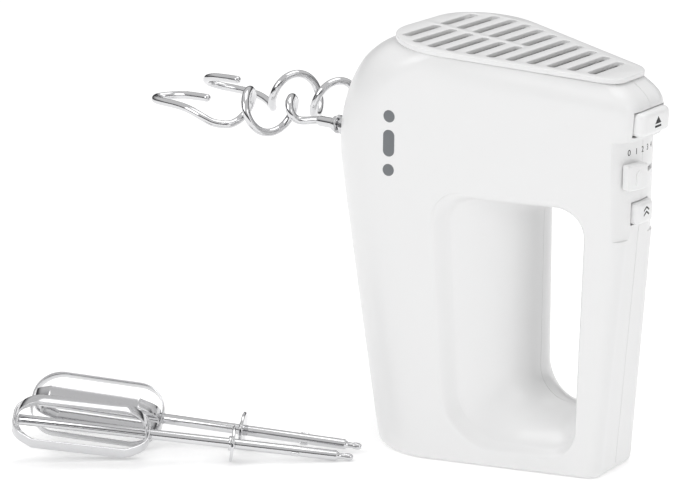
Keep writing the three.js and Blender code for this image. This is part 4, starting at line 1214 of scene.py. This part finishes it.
@dataclass
class Hooks(Assembly):
    """The two dough hooks with their collars, held in the spindles."""

    shaft_r: float = 2.45
    wire_r: float = 1.9
    bend_x: float = -92.0
    top_x: float = -109.9
    pitch: float = 25.3
    radius: float = 9.3
    drop: float = 0.9
    left_turn: float = 31.0

    TAIL = (
        (-5, -5.4, -9), (-10, -8.4, -6), (-17, -9, -3.6), (-25, -8.8, -2.6),
        (-34, -8.4, -2.4), (-41, -6, -2.8),
        (-44.5, -0.4, -3.2), (-41, 5.2, -3), (-34.5, 8, -2.4), (-27, 8.2, -2), (-18.5, 8.2, -1.8),
    )

    def coil_point(self, degrees: float, radius: float) -> tuple[float, float, float]:
        """A point on the hook's coil."""
        a = math.radians(degrees)
        drop = self.drop * radius / self.radius
        return self.top_x - self.pitch * degrees / 360, radius * math.sin(a), radius * math.cos(a) - drop

    def path(self, mirror: int) -> Ring:
        """The bent wire's centre line; the left hook is mirrored and turned on its shaft."""
        keys = [(self.bend_x + 6, 0, 0), (self.bend_x, 0, 0), (self.bend_x - 3, 0, 0)]
        keys += [self.coil_point(d, s * self.radius) for d, s in ((-100, 0.3), (-62, 0.66), (-30, 0.92))]
        keys += [self.coil_point(d, self.radius) for d in range(0, 541, 30)]
        last = self.top_x - 1.5 * self.pitch
        keys += [(last + x, y, z) for x, y, z in self.TAIL]
        pts = smooth_path(np.array(keys, float), 9, self.wire_r)
        if mirror > 0:
            return pts
        c, s = math.cos(math.radians(self.left_turn)), math.sin(math.radians(self.left_turn))
        y, z = -pts[:, 1], pts[:, 2]
        return np.column_stack([pts[:, 0], y * c + z * s, z * c - y * s])

    def build(self) -> None:
        """Builds both hooks and both collars."""
        chrome = self.palette["bright_chrome"]
        for side in Side:
            name = side.name.lower()
            low, high = (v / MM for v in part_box(f"{name}_spindle"))
            y, z = (low[1] + high[1]) / 2, (low[2] + high[2]) / 2
            node_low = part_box(f"{name}_dough_hook")[0] / MM
            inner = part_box(f"{name}_hook_shank")[1][0] / MM
            r = self.shaft_r
            wire = self.growth.grow(
                self.growth.wire, "wire", self.path(-side.value), False,
                Radius=self.wire_r * MM, Sides=20, Material=chrome,
            )
            ends = [(0, self.bend_x - 2.2), (self.wire_r, self.bend_x - 2), (r, self.bend_x - 0.6)]
            nose = [(r, inner - 1), (r - 0.3, inner - 0.3), (r - 1, inner), (0, inner)]
            groove = [(r, inner - 9), (r - 0.55, inner - 8.4), (r - 0.55, inner - 6.6), (r, inner - 6)]
            shaft = Solid.turned(ends + groove + nose, 40).placed(ALONG_X).mesh("shaft")
            mesh = joined_mesh("hook", [wire, shaft])
            shaped(mesh, lambda p: p + np.array([0, y, z]))
            self.keep_inside(mesh, node_low)
            piece = show(f"{name}_hook_wire", mesh, chrome, 40)
            self.dress(piece, f"{name}_hook", [f"{name}_dough_hook", f"{name}_hook_shank"], "chromed_steel")
            self._collar(name, y, z, chrome)

    @staticmethod
    def keep_inside(mesh: bpy.types.Mesh, low: Vector) -> None:
        """Draws the far end in, so that it stays within the frame's own box."""

        def rule(p: np.ndarray) -> np.ndarray:
            over = low[0] - p[:, 0].min()
            if over > 0:
                p[:, 0] += over * np.clip((-150 - p[:, 0]) / 30, 0, 1)
            return p

        shaped(mesh, rule)

    def _collar(self, name: str, y: float, z: float, chrome: bpy.types.Material) -> None:
        """A collar: a thin disc with a hub, pressed on the shaft."""
        low, high = (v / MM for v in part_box(f"{name}_hook_collar"))
        back, front, big, bore, hub = low[0], high[0], (high[1] - low[1]) / 2, self.shaft_r + 0.05, 3.6
        disc = front - 1.6
        profile = [
            (bore, back), (hub - 0.4, back), (hub, back + 0.4), (hub, disc),
            (big - 0.5, disc), (big, disc + 0.5), (big, front - 0.5), (big - 0.5, front), (bore + 0.4, front),
            (bore, front - 0.4), (bore, back),
        ]
        mesh = Solid.turned(profile, 56).placed(ALONG_X).moved(0, y, z).mesh("collar")
        piece = show(f"{name}_hook_disc", mesh, chrome, 40)
        self.dress(piece, f"{name}_hook", [f"{name}_hook_collar"], "chromed_steel")


def smooth_path(keys: np.ndarray, steps: int, end: float) -> Ring:
    """A smooth path through key points, finer near its ends so that they can be rounded.

    Args:
        keys: the points it passes through.
        steps: pieces between two keys.
        end: length at each end to make finer.

    Returns:
        The path's points.
    """
    padded = np.concatenate([[2 * keys[0] - keys[1]], keys, [2 * keys[-1] - keys[-2]]])
    out = []
    for i in range(1, len(padded) - 2):
        a, b, c, d = padded[i - 1 : i + 3]
        for t in np.arange(steps) / steps:
            bend, twist = 2 * a - 5 * b + 4 * c - d, 3 * b - a - 3 * c + d
            out.append(0.5 * (2 * b + (c - a) * t + bend * t**2 + twist * t**3))
    out.append(keys[-1])
    pts = np.array(out)
    arc = np.concatenate([[0], np.cumsum(np.linalg.norm(np.diff(pts, axis=0), axis=1))])
    fine = end * (1 - np.cos(np.linspace(0, math.pi / 2, 9)))
    inner = arc[(arc > end * 1.2) & (arc < arc[-1] - end * 1.2)]
    places = np.concatenate([fine, inner, (arc[-1] - fine)[::-1]])
    return np.stack([np.interp(places, arc, pts[:, k]) for k in range(3)], 1)


@dataclass(frozen=True)
class BeaterPlace:
    """Where a beater lies: the foot of its axis, and its turns in degrees."""

    name: str
    x: float
    y: float
    yaw: float
    pitch: float
    roll: float


@dataclass
class Beaters(Assembly):
    """The two wire beaters that lie on the table."""

    cage: float = 62.4
    radius: float = 15.5
    corner: float = 13.5
    strip: float = 0.9
    wide: float = 5.0
    shaft_r: float = 2.4
    long: float = 155.4
    gap: float = 0.3

    PLACES = (
        BeaterPlace("front", -164.5, -156.3, 37.7, 7.4, 20),
        BeaterPlace("rear", -180.6, -126.6, 28.6, 5.5, 45),
    )

    def matrix(self, place: BeaterPlace) -> Matrix:
        """The beater's place, lowered so that it matches its node's box."""
        turn = (
            Matrix.Rotation(math.radians(place.yaw), 4, "Z")
            @ Matrix.Rotation(math.radians(place.pitch), 4, "Y")
            @ Matrix.Rotation(math.radians(place.roll), 4, "X")
        )
        return Matrix.Translation((place.x, place.y, 0)) @ turn

    def loop(self, inset: float, creased: bool) -> Ring:
        """Centre line of a closed loop of strip; a creased loop turns its corners in two straight bends."""
        mid = inset + self.strip / 2
        long, wide = self.cage - 2 * mid, 2 * self.radius - 2 * mid
        radius = self.corner - mid
        if not creased:
            return box_outline(long, wide, radius, 20, 10)
        a, b = long / 2, wide / 2
        c, e = 0.75 * radius, b - 0.5 * radius
        corners = [(a, -e), (a, e), (a - c, b), (c - a, b), (-a, e), (-a, -e), (c - a, -b), (a - c, -b)]
        return rounded(corners, [15, 15, 1.2, 1.2] * 2, 9, 4)

    def build(self) -> None:
        """Builds both beaters, each of a shaft, two loops and a collar."""
        steel = self.palette["polished_strip"]
        chrome = self.palette["bright_chrome"]
        for place in self.PLACES:
            matrix = self.matrix(place)
            low = min((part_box(f"{place.name}_beater_{part}")[0][2] for part in ("outer_loop", "inner_loop")))
            lift = self._lift(matrix, low / MM)
            matrix = Matrix.Translation((0, 0, lift)) @ matrix
            body = f"{place.name}_beater"
            for part, inset, quarter, creased in (
                ("outer_loop", 0.0, 0, place.name == "front"),
                ("inner_loop", self.strip + self.gap, 1, place.name == "rear"),
            ):
                flat = self.loop(inset, creased)
                path = np.column_stack([flat, np.zeros(len(flat))])
                mesh = self.growth.grow(
                    self.growth.strip, part, path, True,
                    Width=self.wide * MM, Thickness=self.strip * MM, Edge=0.28 * MM, Material=steel,
                )
                turn = Matrix.Translation((self.cage / 2, 0, 0)).to_4x4()
                around = Matrix.Rotation(quarter * math.pi / 2, 4, "X")
                self._place(mesh, matrix @ around @ turn)
                face_outwards(mesh)
                piece = show(f"{body}_{part}_strip", mesh, steel, 30)
                self.dress(piece, body, [f"{body}_{part}"], "chromed_steel")
            self._shaft(body, matrix, chrome)
            self._collar(body, matrix, chrome)

    def _lift(self, matrix: Matrix, floor: float) -> float:
        """How far the beater is raised so that its lowest strip edge meets its node's lowest point."""
        lowest = 1e9
        for inset, quarter in ((0.0, 0), (self.strip + self.gap, 1)):
            long, wide = self.cage - 2 * inset, 2 * self.radius - 2 * inset
            flat = box_outline(long, wide, self.corner - inset, 6)
            for edge in (-self.wide / 2, self.wide / 2):
                pts = raised(flat + np.array([self.cage / 2, 0]), edge)
                m = np.array(matrix @ Matrix.Rotation(quarter * math.pi / 2, 4, "X"))
                lowest = min(lowest, float((pts @ m[:3, :3].T + m[:3, 3])[:, 2].min()))
        return floor - lowest + 0.03

    @staticmethod
    def _place(mesh: bpy.types.Mesh, matrix: Matrix) -> None:
        """Moves a mesh by a matrix in millimetres."""
        m = np.array(matrix)
        shaped(mesh, lambda p: p @ m[:3, :3].T + m[:3, 3])

    def _shaft(self, body: str, matrix: Matrix, chrome: bpy.types.Material) -> None:
        """The shaft with its flat lug and the waisted tip that clicks into a spindle."""
        r, low, tip = self.shaft_r, 2.4, self.long - 7.5
        profile = [
            (0, low), (r - 0.3, low), (r, low + 0.4), (r, tip - 0.3), (r - 0.3, tip), (1.35, tip + 1.3),
            (1.3, tip + 3.2), (1.5, tip + 4.0), (1.65, tip + 4.8), (1.65, tip + 6.2), (1.4, tip + 6.9),
            (0.8, self.long), (0, self.long),
        ]
        shaft = Solid.turned(profile, 40).placed(ALONG_X).mesh("shaft")
        lug = plate("lug", [box_outline(4, 6, 0.9, 5)], 2.0, 0.4, 2)
        shaped(lug, lambda p: p + np.array([128.8, 0, 0]))
        mesh = joined_mesh("beater_shaft", [shaft, lug])
        self._place(mesh, matrix)
        piece = show(f"{body}_rod", mesh, chrome, 38)
        self.dress(piece, body, [f"{body}_shaft"], "chromed_steel")

    def _collar(self, body: str, matrix: Matrix, chrome: bpy.types.Material) -> None:
        """The collar: a thin disc with a hub."""
        bore, hub, big, at, half = self.shaft_r + 0.05, 3.4, 8.5, 100.0, 0.75
        profile = [
            (bore, at - 1.8), (hub - 0.3, at - 1.8), (hub, at - 1.5), (hub, at - half),
            (big - 0.4, at - half), (big, at - half + 0.4), (big, at + half - 0.4), (big - 0.4, at + half),
            (bore + 0.3, at + half), (bore, at + half - 0.3), (bore, at - 1.8),
        ]
        mesh = Solid.turned(profile, 56).placed(ALONG_X).mesh("collar")
        self._place(mesh, matrix)
        piece = show(f"{body}_disc", mesh, chrome, 40)
        self.dress(piece, body, [f"{body}_collar"], "chromed_steel")


@dataclass
class Works(Assembly):
    """Motor, gears and switchgear inside: the frame's own nodes with their finishes, and finer springs."""

    RULES = (
        ("winding", "enamel_copper"), ("field_coil", "enamel_copper"), ("commutator", "machined_copper"),
        ("stator", "stacked_steel"), ("armature_core", "stacked_steel"), ("brush_holder", "black_plastic"),
        ("brush", "pressed_carbon"), ("bearing", "sintered_bronze"), ("bush", "sintered_bronze"),
        ("worm_wheel", "milky_nylon"), ("worm", "turned_steel"), ("spindle", "turned_steel"),
        ("motor_shaft", "turned_steel"), ("screw", "turned_steel"), ("spring", "turned_steel"),
        ("fan", "milky_nylon"), ("yoke", "milky_nylon"),
        ("frame", "turned_steel"), ("bracket", "turned_steel"),
        ("board", "green_board"), ("capacitor", "black_plastic"), ("switch", "black_plastic"),
    )

    def finish_for(self, node: str) -> str:
        """The finish of a node by its name."""
        if node == "cord_inlet_bush":
            return "black_plastic"
        for word, name in self.RULES:
            if word in node:
                return name
        return "white_casing"

    def build(self, nodes: dict[str, bpy.types.Object]) -> None:
        """Gives every shown node its finish and swaps the springs for round wire ones."""
        self._spring("eject_spring", "eject_press", 3.4, 0.5, 5, 0.4)
        self._spring("turbo_spring", "turbo_press", 2.4, 0.35, 4, 0.24)
        for name, obj in nodes.items():
            if obj.hide_render:
                continue
            obj.data.materials.clear()
            obj.data.materials.append(self.palette[self.finish_for(name)])
            obj.data.polygons.foreach_set("material_index", [0] * len(obj.data.polygons))
            obj.data.shade_smooth()
            obj.data.set_sharp_from_angle(angle=math.radians(32))
            LOG.info("%s keeps its own mesh in %s", name, self.finish_for(name))

    def _spring(self, node: str, joint: str, radius: float, wire: float, turns: int, keep: float) -> None:
        """A coil spring along X in the node's own box.

        Args:
            node: the spring's node.
            joint: the joint that presses it; not used.
            radius: outside radius.
            wire: radius of the wire.
            turns: whole turns.
            keep: share of its length left when pressed; not used.
        """
        low, high = (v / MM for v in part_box(node))
        steel = self.palette["turned_steel"]
        mesh = self.growth.grow(
            self.growth.spring, node, np.zeros((2, 3)), False,
            Radius=(radius - wire) * MM, Wire=wire * MM, Height=(high[0] - low[0] - 2 * wire) * MM,
            Turns=float(turns), Material=steel,
        )
        middle = (low + high) / 2

        def rule(p: np.ndarray) -> np.ndarray:
            return np.column_stack([p[:, 2] + low[0] + wire, p[:, 0] + middle[1], p[:, 1] + middle[2]])

        shaped(mesh, rule)
        face_outwards(mesh)
        piece = show(f"{node}_wire", mesh, steel, 40)
        self.dress(piece, "housing", [node], "bright_steel")
        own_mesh(piece)


@dataclass
class Studio:
    """Floor, soft light and the camera."""

    camera_at: tuple[float, float, float] = (0.6134, -0.9515, 0.4440)
    right: tuple[float, float, float] = (0.8016, 0.5979, 0.0)
    up: tuple[float, float, float] = (-0.1762, 0.2362, 0.9556)
    back: tuple[float, float, float] = (0.5713, -0.7660, 0.2947)
    lens: float = 137.7

    def build(self) -> None:
        """Sets the whole studio up."""
        self._floor()
        self._sky()
        self._lamp("key", (-0.7, -1.9, 1.4), (1.3, 1.3), 14)
        self._lamp("fill", (1.9, -0.4, 0.8), (1.0, 1.4), 6)
        self._lamp("top", (0.1, 0.4, 2.2), (1.6, 1.6), 12)
        data = bpy.data.cameras.new("camera")
        data.sensor_width, data.lens = 36, self.lens
        data.clip_start, data.clip_end = 0.05, 60
        camera = bpy.data.objects.new("camera", data)
        frame = Matrix((self.right, self.up, self.back)).transposed().to_4x4()
        camera.matrix_world = Matrix.Translation(self.camera_at) @ frame
        bpy.context.scene.collection.objects.link(camera)
        bpy.context.scene.camera = camera
        bpy.context.scene.view_settings.view_transform = "Standard"

    @staticmethod
    def _floor() -> None:
        """A wide pale floor."""
        mesh = bpy.data.meshes.new("floor")
        reach = 40.0
        corners = [(-reach, -reach, 0), (reach, -reach, 0), (reach, reach, 0), (-reach, reach, 0)]
        mesh.from_pydata(corners, [], [(0, 1, 2, 3)])
        mat = bpy.data.materials.new("pale_floor")
        mat.use_nodes = True
        surface = mat.node_tree.nodes["Principled BSDF"]
        surface.inputs["Base Color"].default_value = (0.95, 0.95, 0.95, 1)
        surface.inputs["Emission Color"].default_value = (1, 1, 1, 1)
        surface.inputs["Emission Strength"].default_value = 0.22
        surface.inputs["Roughness"].default_value = 0.9
        mesh.materials.append(mat)
        floor = bpy.data.objects.new("floor", mesh)
        floor.location.z = -0.0002
        bpy.context.scene.collection.objects.link(floor)

    @staticmethod
    def _sky() -> None:
        """Even light from above with a darker band low down, for the bright metal to show."""
        world = bpy.data.worlds.new("studio")
        bpy.context.scene.world = world
        world.use_nodes = True
        tree = world.node_tree
        back = tree.nodes["Background"]
        kinds = ("ShaderNodeTexCoord", "ShaderNodeSeparateXYZ", "ShaderNodeValToRGB")
        where, split, ramp = (tree.nodes.new(kind) for kind in kinds)
        tree.links.new(where.outputs["Generated"], split.inputs[0])
        tree.links.new(split.outputs["Z"], ramp.inputs["Fac"])
        stops = ramp.color_ramp.elements
        stops[0].position, stops[0].color = 0.0, (0.06, 0.06, 0.065, 1)
        stops[1].position, stops[1].color = 0.5, (1, 1, 1, 1)
        low = stops.new(0.2)
        low.color = (0.1, 0.1, 0.105, 1)
        tree.links.new(ramp.outputs["Color"], back.inputs["Color"])
        back.inputs["Strength"].default_value = 0.75

    @staticmethod
    def _lamp(name: str, place: tuple[float, float, float], size: tuple[float, float], watts: float) -> None:
        """A soft rectangular light that faces the middle of the model."""
        data = bpy.data.lights.new(name, "AREA")
        data.shape = "RECTANGLE"
        data.size, data.size_y = size
        data.energy = watts
        lamp = bpy.data.objects.new(name, data)
        lamp.location = place
        aim = Vector((-0.03, -0.05, 0.09)) - Vector(place)
        lamp.rotation_euler = aim.to_track_quat("-Z", "Y").to_euler()
        bpy.context.scene.collection.objects.link(lamp)


def main() -> None:
    """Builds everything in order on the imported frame."""
    logging.basicConfig(level=logging.INFO, format="%(message)s")
    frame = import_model()
    palette, growth = Palette(), Growth()
    casing = Casing(palette, growth)
    controls = Controls(palette, growth, casing)
    casing.build(controls.windows())
    Grille(palette, growth, casing).build()
    controls.build()
    Hooks(palette, growth).build()
    Beaters(palette, growth).build()
    Works(palette, growth).build(frame["nodes"])
    Studio().build()


if __name__ == "__main__":
    main()
